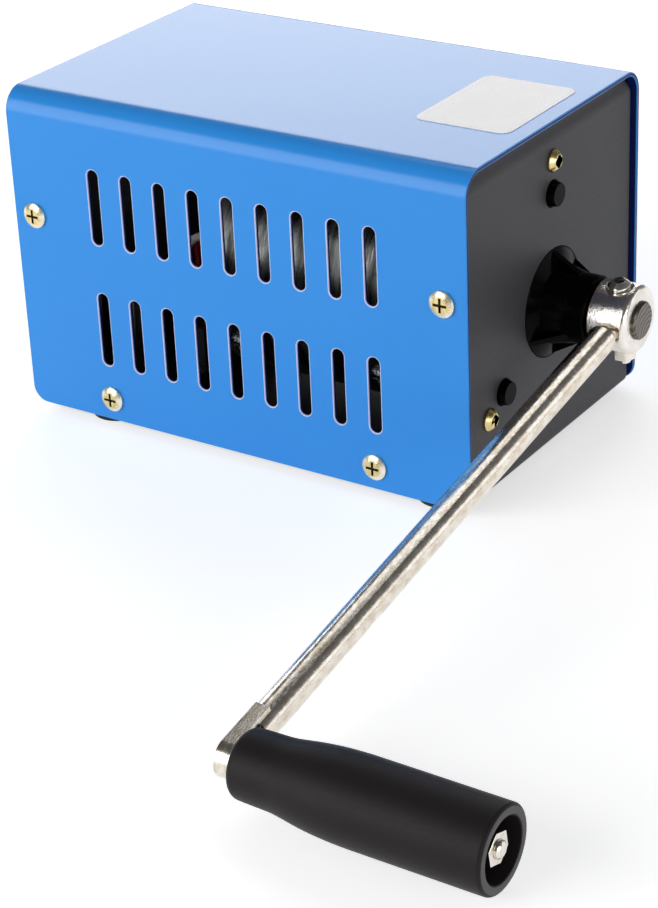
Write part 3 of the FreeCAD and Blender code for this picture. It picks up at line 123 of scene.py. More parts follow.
@dataclass(frozen=True)
class Finish:
    """A surface: its colour, its gloss and the fine texture that a maker's process leaves."""

    name: str
    colour: str
    roughness: float
    metallic: float = 0.0
    second_colour: str = ""
    patch_mm: float = 12.0
    patch_share: float = 0.5
    grain_mm: float = 0.6
    grain_depth_mm: float = 0.02
    roughness_spread: float = 0.05
    specular: float = 0.4
    coat: float = 0.0
    coat_roughness: float = 0.1
    stretch: tuple[float, float, float] = (1.0, 1.0, 1.0)
    centre_mm: tuple[float, float, float] = (0.0, 0.0, 0.0)

    def material(self) -> bpy.types.Material:
        """Build the material once, and give it again when it is asked for again."""
        made = bpy.data.materials.get(self.name)
        if made:
            return made
        made = bpy.data.materials.new(self.name)
        made.use_nodes = True
        tree = made.node_tree
        tree.nodes.clear()
        output = add_node(tree, "ShaderNodeOutputMaterial")
        shader = add_node(tree, "ShaderNodeBsdfPrincipled", inputs={
            "Metallic": self.metallic, "Specular IOR Level": self.specular,
            "Coat Weight": self.coat, "Coat Roughness": self.coat_roughness})
        tree.links.new(shader.outputs[0], output.inputs[0])
        place = add_node(tree, "ShaderNodeTexCoord").outputs["Object"]
        place = add_node(tree, "ShaderNodeMapping", links={"Vector": place}, inputs={
            "Scale": self.stretch,
            "Location": [-step * MM * scale for step, scale in zip(self.centre_mm, self.stretch)]}).outputs[0]
        self.tint(tree, shader, place)
        self.texture(tree, shader, place)
        made.diffuse_color = linear(self.colour)
        return made

    def tint(self, tree: bpy.types.NodeTree, shader: bpy.types.Node, place: bpy.types.NodeSocket) -> None:
        """Blend the colour with its second one in soft patches.

        Args:
            tree: The material's node tree.
            shader: The node that takes the colour.
            place: The point on the object.
        """
        patches = add_node(tree, "ShaderNodeTexNoise", links={"Vector": place}, inputs={
            "Scale": 1 / (self.patch_mm * MM), "Detail": 3.0, "Roughness": 0.55})
        share = add_node(tree, "ShaderNodeMapRange", links={"Value": patches.outputs[0]}, inputs={
            "From Min": PATCH_SPAN[0], "From Max": PATCH_SPAN[1], "To Min": 0.0, "To Max": self.patch_share})
        other = self.second_colour or self.colour
        mixed = add_node(tree, "ShaderNodeMix", data_type="RGBA", inputs={
            6: linear(self.colour), 7: linear(other)}, links={0: share.outputs[0]})
        tree.links.new(mixed.outputs[2], shader.inputs["Base Color"])

    def texture(self, tree: bpy.types.NodeTree, shader: bpy.types.Node, place: bpy.types.NodeSocket) -> None:
        """Vary the gloss and raise a fine grain.

        Args:
            tree: The material's node tree.
            shader: The node that takes the gloss and the relief.
            place: The point on the object.
        """
        grain = add_node(tree, "ShaderNodeTexNoise", links={"Vector": place}, inputs={
            "Scale": 1 / (self.grain_mm * MM), "Detail": 2.0})
        self.relief(tree, shader, grain.outputs[0], GRAIN_SPAN, self.grain_depth_mm)

    def relief(self, tree: bpy.types.NodeTree, shader: bpy.types.Node, pattern: bpy.types.NodeSocket,
               span: tuple[float, float], depth_mm: float) -> None:
        """Let a pattern vary the gloss and raise the surface.

        Args:
            tree: The material's node tree.
            shader: The node that takes the gloss and the relief.
            pattern: The pattern's value.
            span: The pattern's lowest and highest value.
            depth_mm: The height between them, in millimetres.
        """
        gloss = add_node(tree, "ShaderNodeMapRange", links={"Value": pattern}, inputs={
            "From Min": span[0], "From Max": span[1],
            "To Min": max(LEAST_ROUGHNESS, self.roughness - self.roughness_spread),
            "To Max": min(1.0, self.roughness + self.roughness_spread)})
        tree.links.new(gloss.outputs[0], shader.inputs["Roughness"])
        bump = add_node(tree, "ShaderNodeBump", links={"Height": pattern}, inputs={
            "Strength": 1.0, "Distance": depth_mm * MM})
        tree.links.new(bump.outputs[0], shader.inputs["Normal"])


class Tooling(Enum):
    """The two ways in which a tool or a winding leaves its marks."""

    STRIPES = "BANDS"
    RINGS = "RINGS"


@dataclass(frozen=True)
class TurnedFinish(Finish):
    """A surface with the fine even rings or stripes of turning, stacking or winding."""

    stripe_mm: float = 0.5
    stripe_axis: str = "X"
    stripe_depth_mm: float = 0.02
    stripe_colour: str = ""
    tooling: Tooling = Tooling.STRIPES
    wander: float = 0.4

    def tint(self, tree: bpy.types.NodeTree, shader: bpy.types.Node, place: bpy.types.NodeSocket) -> None:
        """Stripe the colour.

        Args:
            tree: The material's node tree.
            shader: The node that takes the colour.
            place: The point on the object.
        """
        stripes = self.stripes(tree, place)
        mixed = add_node(tree, "ShaderNodeMix", data_type="RGBA", inputs={
            6: linear(self.colour), 7: linear(self.stripe_colour or self.second_colour or self.colour)},
            links={0: stripes.outputs[0]})
        tree.links.new(mixed.outputs[2], shader.inputs["Base Color"])

    def stripes(self, tree: bpy.types.NodeTree, place: bpy.types.NodeSocket) -> bpy.types.Node:
        """Make a pattern of stripes or rings with their real spacing.

        Args:
            tree: The material's node tree.
            place: The point on the object.

        Returns:
            The pattern's node.
        """
        return add_node(tree, "ShaderNodeTexWave", links={"Vector": place}, inputs={
            "Scale": WAVE_SPACING / (self.stripe_mm * MM), "Distortion": self.wander, "Detail": 2.0},
            wave_type=self.tooling.value, bands_direction=self.stripe_axis, rings_direction=self.stripe_axis)

    def texture(self, tree: bpy.types.NodeTree, shader: bpy.types.Node, place: bpy.types.NodeSocket) -> None:
        """Raise the stripes and vary the gloss across them.

        Args:
            tree: The material's node tree.
            shader: The node that takes the gloss and the relief.
            place: The point on the object.
        """
        self.relief(tree, shader, self.stripes(tree, place).outputs[0], STRIPE_SPAN, self.stripe_depth_mm)


# Powder-coated steel sheet: an even colour with a faint orange peel under a clear gloss
BLUE_COAT = Finish("blue_powder_coat", "#3295EC", 0.22, second_colour="#2E90EA", patch_mm=60, grain_mm=2.2,
                   grain_depth_mm=0.0008, roughness_spread=0.015, specular=0.32)
# Painted highlight: the pale colour round the punched slots' edges stands in for the light that their rounded edges
# catch
BLUE_RIM_PAINTED_HIGHLIGHT = Finish("slot_rim_painted_highlight", "#D9DCF6", 0.35, second_colour="#C9CEF2", patch_mm=6, grain_depth_mm=0.004)
# Painted shade: the inside of the cover and the slots' walls are painted a dull dark navy for the shade that falls
# there
BLUE_INSIDE_PAINTED_SHADE = Finish("blue_inside_painted_shade", "#14256B", 0.5, second_colour="#101D55", patch_mm=15, grain_mm=0.8,
                     grain_depth_mm=0.01, specular=0.2)
# Black powder coat with a fine satin grain
BLACK_COAT = Finish("black_powder_coat", "#424246", 0.5, second_colour="#3D3D41", patch_mm=30, grain_mm=0.5,
                    grain_depth_mm=0.012, specular=0.25)
# Injection-moulded black nylon, glossy from a polished mould
BLACK_NYLON = Finish("gloss_black_nylon", "#040404", 0.2, second_colour="#060606", grain_mm=2.0,
                     grain_depth_mm=0.006, roughness_spread=0.05, specular=0.03)
# Soft-touch black grip plastic, satin and slightly brown
GRIP_PLASTIC = Finish("satin_black_grip", "#231F20", 0.5, second_colour="#1D1A1B", patch_mm=25, grain_mm=0.8,
                      grain_depth_mm=0.006, roughness_spread=0.04, specular=0.15)
# The end face has faint lathe rings; its paler colour is painted light for the light that the face catches
GRIP_FACE_PAINTED_LIGHT = TurnedFinish("grip_face_painted_light", "#4A4849", 0.45, second_colour="#434142", stripe_mm=0.5,
                         stripe_depth_mm=0.004, specular=0.25)
# Bright nickel on a sand-cast hub: shiny, with the casting's pits under the plating
CAST_NICKEL = Finish("nickel_on_casting", "#F3EFEA", 0.15, metallic=1.0, second_colour="#C9BEB0", patch_mm=2.5,
                     patch_share=0.5, grain_mm=0.45, grain_depth_mm=0.07, roughness_spread=0.1)
# Bright nickel on drawn bar: long faint streaks, whose warm darker tone is a painted reflection
DRAWN_NICKEL_PAINTED_REFLECTION = Finish("drawn_nickel_painted_reflection", "#EFE9DF", 0.2, metallic=1.0, second_colour="#BFAE94", patch_mm=1.2,
                      patch_share=0.6, grain_mm=0.4, grain_depth_mm=0.016, roughness_spread=0.08,
                      stretch=(1.0, 0.3, 0.6))
NICKEL_FITTING = Finish("nickel_fitting", "#EFEAE2", 0.14, metallic=1.0, second_colour="#CFC5B6", patch_mm=2,
                        grain_mm=0.4, grain_depth_mm=0.01)
# Yellow zinc chromate on pressed screws: pale gold with faint iridescent patches
YELLOW_ZINC = Finish("yellow_zinc", "#E9D9A0", 0.24, metallic=1.0, second_colour="#C9AE6E", patch_mm=1.8,
                     patch_share=0.8, grain_mm=0.3, grain_depth_mm=0.008)
# The flat washer rim of the same screw is paler: a painted highlight for the light that its edge catches
ZINC_RIM_PAINTED_HIGHLIGHT = Finish("zinc_rim_painted_highlight", "#F4EDD8", 0.3, metallic=1.0, second_colour="#E2D3AE", patch_mm=1.8,
                  patch_share=0.6, grain_mm=0.3, grain_depth_mm=0.008)
# Painted shade in the cross recess and on the heads' upright flanks
ZINC_SHADE_PAINT = Finish("recess_shade", "#4A3D22", 0.5, metallic=0.6, second_colour="#33290F", patch_mm=1.0,
                     grain_mm=0.3)
RUBBER = Finish("black_rubber", "#141414", 0.75, second_colour="#1B1B1B", grain_mm=0.5, grain_depth_mm=0.03)
# Matt coated paper label
LABEL_FILM = Finish("white_label_film", "#F4F3F4", 0.3, second_colour="#EEEDEF", patch_mm=8, grain_mm=0.3,
                    grain_depth_mm=0.003, specular=0.32)
# Faced on a lathe: rings round the shaft's own axis, drawn coarse enough to show
STEEL_END = TurnedFinish("turned_steel", "#77706A", 0.32, metallic=1.0, second_colour="#544D47", stripe_mm=1.3,
                         stripe_depth_mm=0.015, tooling=Tooling.RINGS, wander=4.0, centre_mm=(0.0, 3.5, 37.0))
BRONZE = Finish("sintered_bronze", "#A07A4A", 0.45, metallic=1.0, second_colour="#8A673C", grain_mm=0.25,
                grain_depth_mm=0.02)
DIE_CAST = Finish("die_cast_aluminium", "#8C8D90", 0.45, metallic=1.0, second_colour="#7A7B7E", patch_mm=8,
                  grain_mm=0.5, grain_depth_mm=0.03)
# Rolled steel tube, with dark streaks round the tube painted in as reflection
STEEL_CAN_PAINTED_STREAKS = Finish("steel_can_painted_reflection_streaks", "#8D908E", 0.34, metallic=1.0, second_colour="#3B3D3C", patch_mm=2.2,
                  patch_share=0.9, grain_mm=0.5, grain_depth_mm=0.02, roughness_spread=0.1, stretch=(1.0, 0.12, 0.12))
GEAR_STEEL = Finish("ground_gear_steel", "#8A8B8E", 0.3, metallic=1.0, second_colour="#77787B", grain_mm=0.3)
NYLON_GEAR = Finish("natural_nylon", "#DCD7C4", 0.5, second_colour="#D2CCB6", grain_mm=0.6, grain_depth_mm=0.01)
LAMINATIONS = TurnedFinish("stacked_laminations", "#6B6C70", 0.4, metallic=0.9, stripe_colour="#3C3D40",
                           stripe_mm=0.5, stripe_depth_mm=0.03)
COPPER = TurnedFinish("enamelled_copper", "#B5642D", 0.32, metallic=0.9, stripe_colour="#6E3516", stripe_mm=0.6,
                      stripe_depth_mm=0.08, stripe_axis="Z")
MAGNET = Finish("nickel_plated_magnet", "#9A9A9C", 0.25, metallic=1.0, second_colour="#858587")
# Dark green solder mask, almost black inside the box
BOARD_GREEN = Finish("dark_solder_mask", "#12241C", 0.3, second_colour="#0E1C16", patch_mm=5, grain_mm=0.8,
                     grain_depth_mm=0.02, coat=0.4)
WHITE_NYLON = Finish("white_nylon", "#ECEBE6", 0.45, second_colour="#E2E1DB", grain_depth_mm=0.01)
SOCKET_STEEL = Finish("tinned_steel", "#C4C5C8", 0.25, metallic=1.0, second_colour="#ACADB0", grain_mm=0.4)
BLACK_PLASTIC = Finish("moulded_black_plastic", "#161617", 0.4, second_colour="#1D1D1E", grain_mm=0.4)
LAMP_LENS = Finish("red_lamp_lens", "#C8281E", 0.15, second_colour="#B01F17", coat=0.5)
TERMINAL_GREY = Finish("grey_terminal_plastic", "#2A2C2F", 0.4, second_colour="#232527", grain_mm=0.5)
RED_SLEEVE = Finish("red_wire_sleeve", "#B3201B", 0.45, second_colour="#9C1915", grain_mm=0.5)
WHITE_SLEEVE = Finish("white_wire_sleeve", "#ECECEA", 0.45, second_colour="#DFDFDC", grain_mm=0.5)
YELLOW_SLEEVE = Finish("yellow_wire_sleeve", "#D9B622", 0.45, second_colour="#C7A51B", grain_mm=0.5)
ALUMINIUM = Finish("extruded_aluminium", "#B9BBBE", 0.35, metallic=1.0, second_colour="#A5A7AA", grain_mm=0.4,
                   stretch=(1.0, 1.0, 0.1))


def only(piece: bpy.types.Object) -> None:
    """Select one object and make it the active one.

    Args:
        piece: The object.
    """
    bpy.ops.object.select_all(action="DESELECT")
    piece.select_set(True)
    bpy.context.view_layer.objects.active = piece


def apply_modifiers(piece: bpy.types.Object) -> None:
    """Apply every modifier on an object, in order.

    Args:
        piece: The object.
    """
    only(piece)
    for modifier in list(piece.modifiers):
        bpy.ops.object.modifier_apply(modifier=modifier.name)


def settle(piece: bpy.types.Object) -> None:
    """Put an object's place into its mesh, so that the object sits at the origin.

    Args:
        piece: The object.
    """
    only(piece)
    bpy.ops.object.transform_apply(location=True, rotation=True, scale=True)


def smooth(piece: bpy.types.Object) -> None:
    """Shade a piece smooth except at its sharp edges, with its large flat faces kept flat.

    Args:
        piece: The object to shade.
    """
    only(piece)
    bpy.ops.object.shade_smooth_by_angle(angle=math.radians(SHARP_DEGREES))
    flat = piece.modifiers.new("flat_faces", "WEIGHTED_NORMAL")
    flat.weight = FLAT_FACE_WEIGHT
    flat.keep_sharp = True
    apply_modifiers(piece)


def weld_and_round(piece: bpy.types.Object, bevel_mm: float, edge_slot: int = -1,
                   clamp: bool = True) -> None:
    """Merge loose corners, round the sharp edges and smooth the rest.

    Args:
        piece: The object to finish.
        bevel_mm: The radius of the rounded edges, in millimetres.
        edge_slot: The material slot that the rounded edges take, or -1 for their neighbours' one.
        clamp: Whether the rounding shrinks everywhere when it would meet itself somewhere.
    """
    only(piece)
    bpy.ops.object.mode_set(mode="EDIT")
    bpy.ops.mesh.select_all(action="SELECT")
    bpy.ops.mesh.remove_doubles(threshold=MERGE_MM * MM)
    bpy.ops.mesh.dissolve_limited(angle_limit=math.radians(LEVEL_DEGREES))
    bpy.ops.object.mode_set(mode="OBJECT")
    if bevel_mm:
        bevel = piece.modifiers.new("edges", "BEVEL")
        bevel.width = bevel_mm * MM
        bevel.segments = BEVEL_SEGMENTS
        bevel.limit_method = "ANGLE"
        bevel.angle_limit = math.radians(SHARP_DEGREES)
        bevel.use_clamp_overlap = clamp
        bevel.loop_slide = clamp
        bevel.harden_normals = False
        bevel.material = edge_slot
    apply_modifiers(piece)
    smooth(piece)


@dataclass
class SubAssembly:
    """Some of the generator's pieces that ride on one body."""

    frame: dict
    body: str

    def build(self) -> None:
        """Make and dress the pieces."""

    def keep(self, piece: bpy.types.Object, *nodes: str) -> bpy.types.Object:
        """Let a piece ride on the body in place of some nodes.

        Args:
            piece: The finished object.
            nodes: The nodes that it stands for.

        Returns:
            The same object.
        """
        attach(piece, self.body)
        if nodes:
            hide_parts(*nodes)
        LOG.info("%s: %s, %d faces", self.body, piece.name, len(piece.data.polygons))
        return piece

    def refine(self, node: str, finish: Finish, bevel_mm: float = 0.2,
               edge: Optional[Finish] = None, clamp: bool = True) -> bpy.types.Object:
        """Stand in for a node with a welded copy whose edges are rounded.

        Args:
            node: The node to copy.
            finish: Its surface.
            bevel_mm: The radius of its edges, in millimetres.
            edge: The surface of the rounded edges, where it differs.
            clamp: Whether the rounding shrinks everywhere when it would meet itself somewhere.

        Returns:
            The finished copy.
        """
        source = self.frame["nodes"][node]
        piece = bpy.data.objects.new(node + "_body", source.data.copy())
        bpy.context.scene.collection.objects.link(piece)
        piece.data.materials.clear()
        piece.data.materials.append(finish.material())
        if edge:
            piece.data.materials.append(edge.material())
        weld_and_round(piece, bevel_mm, 1 if edge else -1, clamp=clamp)
        return self.keep(piece, node)


def ring_of_points(name: str, sections: Sequence[tuple[float, float]], centre: tuple[float, float],
                   corners: int = 64) -> bpy.types.Object:
    """Turn a closed shape about an axis along X, ring by ring, by extruding and scaling a circle.

    Args:
        name: The new object's name.
        sections: X and radius of each ring, in millimetres, from one end to the other. The last joins the first.
        centre: Y and Z of the axis, in metres.
        corners: The number of points round each ring.

    Returns:
        The new object, welded shut.
    """
    first_x, first_radius = sections[0]
    bpy.ops.object.select_all(action="DESELECT")
    bpy.ops.mesh.primitive_circle_add(vertices=corners, radius=first_radius * MM, location=(0, 0, 0),
                                      rotation=(0, math.pi / 2, 0))
    piece = bpy.context.object
    piece.name = name
    settle(piece)
    bpy.ops.object.mode_set(mode="EDIT")
    bpy.ops.mesh.select_all(action="SELECT")
    x, radius = 0.0, first_radius
    for next_x, next_radius in list(sections[1:]) + [sections[0]]:
        step = next_x - first_x - x
        bpy.ops.mesh.extrude_edges_move(TRANSFORM_OT_translate={"value": (step * MM, 0, 0)})
        ratio = next_radius / radius
        x = next_x - first_x
        bpy.ops.transform.resize(value=(1, ratio, ratio), center_override=(x * MM, 0, 0))
        radius = next_radius
    bpy.ops.mesh.select_all(action="SELECT")
    bpy.ops.mesh.remove_doubles(threshold=MERGE_MM / 2 * MM)
    bpy.ops.mesh.normals_make_consistent(inside=False)
    bpy.ops.object.mode_set(mode="OBJECT")
    piece.location = (first_x * MM, centre[0], centre[1])
    settle(piece)
    return piece


class CoverCoat(IntEnum):
    """The cover's material slots."""

    OUTSIDE = 0
    RIM = 1
    INSIDE = 2


@dataclass
class SheetMetalBox(SubAssembly):
    """The blue cover, the black chassis, the feet and the blank label."""

    cover_edge_mm: float = 0.32
    inside_y_mm: float = 43.8
    inside_z_mm: float = 91.3
    inside_bend_mm: float = 5.3
    slots_reach_mm: float = 55.0
    slots_low_mm: float = 15.0
    slots_high_mm: float = 80.0
    touch_mm: float = 0.05
    bend_margin_mm: float = 0.5
    rim_depth_mm: float = 0.6
    wall_tilt: float = 0.3
    lid_gap_mm: float = 0.4
    top_edge_mm: float = 0.08

    def build(self) -> None:
        """Round the sheets' edges and paint them."""
        # The rounded edges round the slots take a pale painted highlight
        cover = self.refine("cover", BLUE_COAT, self.cover_edge_mm, BLUE_RIM_PAINTED_HIGHLIGHT, clamp=False)
        # The inside and the slots' walls take a navy painted shade
        cover.data.materials.append(BLUE_INSIDE_PAINTED_SHADE.material())
        for face in cover.data.polygons:
            face.material_index = self.coat_of(face)
        self.meet_lid(self.refine("chassis", BLACK_COAT, 0.25))
        self.refine("rubber_feet", RUBBER, 0.5)
        self.refine("label", LABEL_FILM, 0.04)

    def coat_of(self, face: bpy.types.MeshPolygon) -> int:
        """Say which coat a face of the cover has.

        Args:
            face: A face that has the outside's coat or, on a rounded edge, the rim's one.

        Returns:
            The material slot: pale with a painted highlight round the vent slots, a navy painted shade inside and on
                the
            slots' walls, and blue elsewhere.
        """
        centre = face.center / MM
        side, height = abs(centre.y), centre.z
        at_slots = abs(centre.x) < self.slots_reach_mm and self.slots_low_mm < height < self.slots_high_mm
        if face.material_index == CoverCoat.RIM:
            if not at_slots:
                return CoverCoat.OUTSIDE
            return CoverCoat.RIM if side > self.inside_y_mm + self.rim_depth_mm else CoverCoat.INSIDE
        wall = at_slots and side > self.inside_y_mm and abs(face.normal.y) < self.wall_tilt
        return CoverCoat.INSIDE if wall or self.is_inside(side, height) else CoverCoat.OUTSIDE

    def is_inside(self, side: float, height: float) -> bool:
        """Say whether a point is on the cover's inner surface.

        Args:
            side: Its distance from the middle plane, in millimetres.
            height: Its height, in millimetres.

        Returns:
            True on the inner surface, with its bends.
        """
        if side >= self.inside_y_mm + self.touch_mm or height >= self.inside_z_mm + self.touch_mm:
            return False
        across = side - self.inside_y_mm + self.inside_bend_mm
        up = height - self.inside_z_mm + self.inside_bend_mm
        return min(across, up) <= 0 or math.hypot(across, up) <= self.inside_bend_mm + self.bend_margin_mm

    def meet_lid(self, chassis: bpy.types.Object) -> None:
        """Raise the end panels' top edges close under the lid, so that no light shows over them.

        Args:
            chassis: The dressed chassis.
        """
        only(chassis)
        top = max(vertex.co.z for vertex in chassis.data.vertices)
        for vertex in chassis.data.vertices:
            vertex.select = vertex.co.z > top - self.top_edge_mm * MM
        for edge in chassis.data.edges:
            edge.select = False
        for face in chassis.data.polygons:
            face.select = False
        bpy.ops.object.mode_set(mode="EDIT")
        bpy.ops.mesh.select_mode(type="VERT")
        bpy.ops.transform.translate(value=(0, 0, (self.inside_z_mm - self.lid_gap_mm) * MM - top))
        bpy.ops.object.mode_set(mode="OBJECT")


class ScrewCoat(IntEnum):
    """The cover screws' material slots."""

    DOME = 0
    RIM = 1
    RECESS = 2


@dataclass
class CoverScrews(SubAssembly):
    """Pan-head screws with a cross recess, on the cover and on the crank end."""

    side_places_mm: tuple[tuple[float, float], ...] = ((63.1, 58.5), (-63.1, 58.5), (42.0, 9.0), (-42.0, 9.0))
    head_radius_mm: float = 3.5
    rim_share: float = 0.68
    cover_face_mm: float = 45.0
    head_height_mm: float = 1.5
    recess_radius_mm: float = 1.9
    recess_share: float = 0.55
    upright: float = 0.2

    def build(self) -> None:
        """Round and plate every screw, with a painted highlight on the rim and painted shade in the recess and on the
        flanks of the cover's ones.
        """
        screws = self.refine("cover_screws", YELLOW_ZINC, 0.1)
        screws.data.materials.append(ZINC_RIM_PAINTED_HIGHLIGHT.material())
        screws.data.materials.append(ZINC_SHADE_PAINT.material())
        for face in screws.data.polygons:
            face.material_index = self.coat_of(face)
        self.refine("gearbox_screws", YELLOW_ZINC, 0.15)

    def coat_of(self, face: bpy.types.MeshPolygon) -> int:
        """Say which part of a cover screw's head a face belongs to.

        Args:
            face: The face.

        Returns:
            The material slot: the rim's painted highlight by its distance from the screw's middle, the painted shade
                low in
            the middle and on upright walls, and else the dome's one.
        """
        centre = face.center / MM
        reach = min(math.hypot(centre.x - x, centre.z - z) for x, z in self.side_places_mm)
        # Faces near the head's edge take the rim's painted highlight
        if reach > self.rim_share * self.head_radius_mm:
            return ScrewCoat.RIM
        low = abs(centre.y) - self.cover_face_mm < self.head_height_mm * self.recess_share
        # Low faces in the middle and the upright flanks take the painted shade
        if low and reach < self.recess_radius_mm or abs(face.normal.y) < self.upright:
            return ScrewCoat.RECESS
        return ScrewCoat.DOME


@dataclass
class Gearbox(SubAssembly):
    """The moulded front with its boss, the housing, bushes and fixed pieces of the gear train."""

    def build(self) -> None:
        """Dress the moulding finely and the hidden pieces plainly."""
        self.refine("gearbox_cover", BLACK_NYLON, 0.3)
        self.refine("gearbox_housing", BLACK_PLASTIC, 0.15)
        for bush in ("crank_bush_front", "crank_bush_rear", "rotor_bush_front", "rotor_bush_rear"):
            self.refine(bush, BRONZE, 0.2)


@dataclass
class Generator(SubAssembly):
    """The generator's can, end bell, stator and coils."""

    def build(self) -> None:
        """Dress the can and what is inside it."""
        # The can's dark streaks are painted reflection
        self.refine("generator_can", STEEL_CAN_PAINTED_STREAKS, 0.3)
        self.refine("end_bell", DIE_CAST, 0.3)
        self.refine("can_screws", SOCKET_STEEL, 0.1)
        self.refine("stator_core", LAMINATIONS, 0.1)
        self.refine("stator_coils", COPPER, 0.4)


@dataclass
class OutputBoard(SubAssembly):
    """The circuit board, what stands on it and the leads from the generator."""

    def build(self) -> None:
        """Dress each component."""
        self.refine("circuit_board", BOARD_GREEN, 0.1)
        self.refine("board_standoffs", WHITE_NYLON, 0.15)
        self.refine("board_screws", SOCKET_STEEL, 0.1)
        self.refine("usb_socket", SOCKET_STEEL, 0.08)
        self.refine("dc_socket", BLACK_PLASTIC, 0.15)
        self.refine("indicator_lamp", LAMP_LENS, 0.3)
        self.refine("terminal_block", TERMINAL_GREY, 0.2)
        self.refine("heat_sink", ALUMINIUM, 0.12)
        self.refine("rectifier", BLACK_PLASTIC, 0.25)
        self.refine("capacitors", BLACK_PLASTIC, 0.2)
        self.refine("choke", COPPER, 0.0)
        self.refine("phase_wire_white", WHITE_SLEEVE, 0.0)
        self.refine("phase_wire_red", RED_SLEEVE, 0.0)
        self.refine("phase_wire_yellow", YELLOW_SLEEVE, 0.0)


@dataclass
class Crank(SubAssembly):
    """The crank shaft, hub, arm, axle and their fittings."""

    def build(self) -> None:
        """Plate the outside pieces and dress the shaft and the first carrier."""
        self.refine("hub", CAST_NICKEL, 0.35)
        # The arm's warm streaks are painted reflection
        self.refine("crank_arm", DRAWN_NICKEL_PAINTED_REFLECTION, 0.4)
        self.refine("crank_shaft", STEEL_END, 0.1)
        self.refine("hub_screw", NICKEL_FITTING, 0.15)
        self.refine("hub_washer", NICKEL_FITTING, 0.1)
        self.refine("hub_nut", NICKEL_FITTING, 0.3)
        self.refine("handle_axle", NICKEL_FITTING, 0.1)
        self.refine("inner_washer", NICKEL_FITTING, 0.12)
        self.refine("outer_washer", NICKEL_FITTING, 0.12)
        self.refine("handle_nut", NICKEL_FITTING, 0.3)
        self.refine("carrier_1", GEAR_STEEL, 0.2)
        self.refine("planet_pins_1", GEAR_STEEL, 0.2)


@dataclass
class Grip(SubAssembly):
    """The turning handle. Its sizes are in millimetres."""

    inner_edge: float = 1.8
    outer_edge: float = 0.9
    inner: float = 7.8
    waist: float = 8.0
    swell: float = 9.8
    end: float = 9.7
    bore: float = 3.05
    recess: float = 7.1
    recess_depth: float = 5.5
    swell_start: float = 8.7
    swell_finish: float = 29.7
    corners: int = 96
    curve_start: float = 4.0 / 21.0
    curve_finish: float = 8.0 / 21.0
    halvings: int = 30
    edge_turns: int = 6
    side_steps: int = 34
    lip: float = 0.35
    lip_step: float = 0.1
    lip_depth: float = 0.4
    floor_round: float = 0.3
    face_margin: float = 0.05

    def radius_at(self, s: float, length: float) -> float:
        """The handle's radius at a distance from its inner end, in millimetres.

        Args:
            s: The distance from the inner end.
            length: The handle's whole length.

        Returns:
            The radius: a waist, a swelling curve and a nearly straight grip.
        """
        if s < self.swell_start:
            return self.inner + (self.waist - self.inner) * s / self.swell_start
        if s > self.swell_finish:
            return self.swell + (self.end - self.swell) * (s - self.swell_finish) / (length - self.swell_finish)
        share = (s - self.swell_start) / (self.swell_finish - self.swell_start)
        low, high = 0.0, 1.0
        for _ in range(self.halvings):
            middle = (low + high) / 2
            if self.bezier(middle, 0.0, self.curve_start, self.curve_finish, 1.0) < share:
                low = middle
            else:
                high = middle
        return self.bezier(low, self.waist, self.waist, self.swell, self.swell)

    @staticmethod
    def bezier(t: float, a: float, b: float, c: float, d: float) -> float:
        """Give a cubic curve's value.

        Args:
            t: How far along the curve, from 0 to 1.
            a: The value at its start.
            b: The first control value.
            c: The second control value.
            d: The value at its end.

        Returns:
            The value.
        """
        u = 1 - t
        return u * u * u * a + 3 * u * u * t * b + 3 * u * t * t * c + t * t * t * d

    def build(self) -> None:
        """Turn the grip ring by ring, with a rounded inner end, a flat outer end and a recess for the nut."""
        low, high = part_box("handle")
        back, front = low[0] / MM, high[0] / MM
        length = front - back
        centre = ((low[1] + high[1]) / 2, (low[2] + high[2]) / 2)
        sections = [(back, self.bore), (back, self.inner - self.inner_edge)]
        for i in range(1, self.edge_turns + 1):
            turn = math.radians(90 / self.edge_turns * i)
            sections.append((back + self.inner_edge * (1 - math.cos(turn)),
                             self.inner - self.inner_edge * (1 - math.sin(turn))))
        for i in range(1, self.side_steps):
            s = self.inner_edge + (length - self.inner_edge - self.outer_edge) * i / self.side_steps
            sections.append((back + s, self.radius_at(s, length)))
        for i in range(self.edge_turns + 1):
            turn = math.radians(90 / self.edge_turns * i)
            sections.append((front - self.outer_edge * (1 - math.sin(turn)),
                             self.end - self.outer_edge * (1 - math.cos(turn))))
        floor = front - self.recess_depth
        sections += [(front, self.recess + self.lip), (front - self.lip_step, self.recess + self.lip_step),
                     (front - self.lip_depth, self.recess), (floor + self.floor_round, self.recess),
                     (floor, self.recess - self.floor_round), (floor, self.bore)]
        piece = ring_of_points("handle_grip", sections, centre, corners=self.corners)
        piece.data.materials.append(GRIP_PLASTIC.material())
        # The flat end face takes the paler painted light
        piece.data.materials.append(GRIP_FACE_PAINTED_LIGHT.material())
        for face in piece.data.polygons:
            if abs(face.center.x / MM - front) < self.face_margin:
                face.material_index = 1
        smooth(piece)
        self.keep(piece, "handle")


@dataclass
class MovingGears(SubAssembly):
    """Gears and rotor pieces that ride on one turning body."""

    dressed: tuple[tuple[str, Finish], ...] = ()

    def build(self) -> None:
        """Round the edges of each piece and dress it."""
        for node, finish in self.dressed:
            self.refine(node, finish, 0.12)


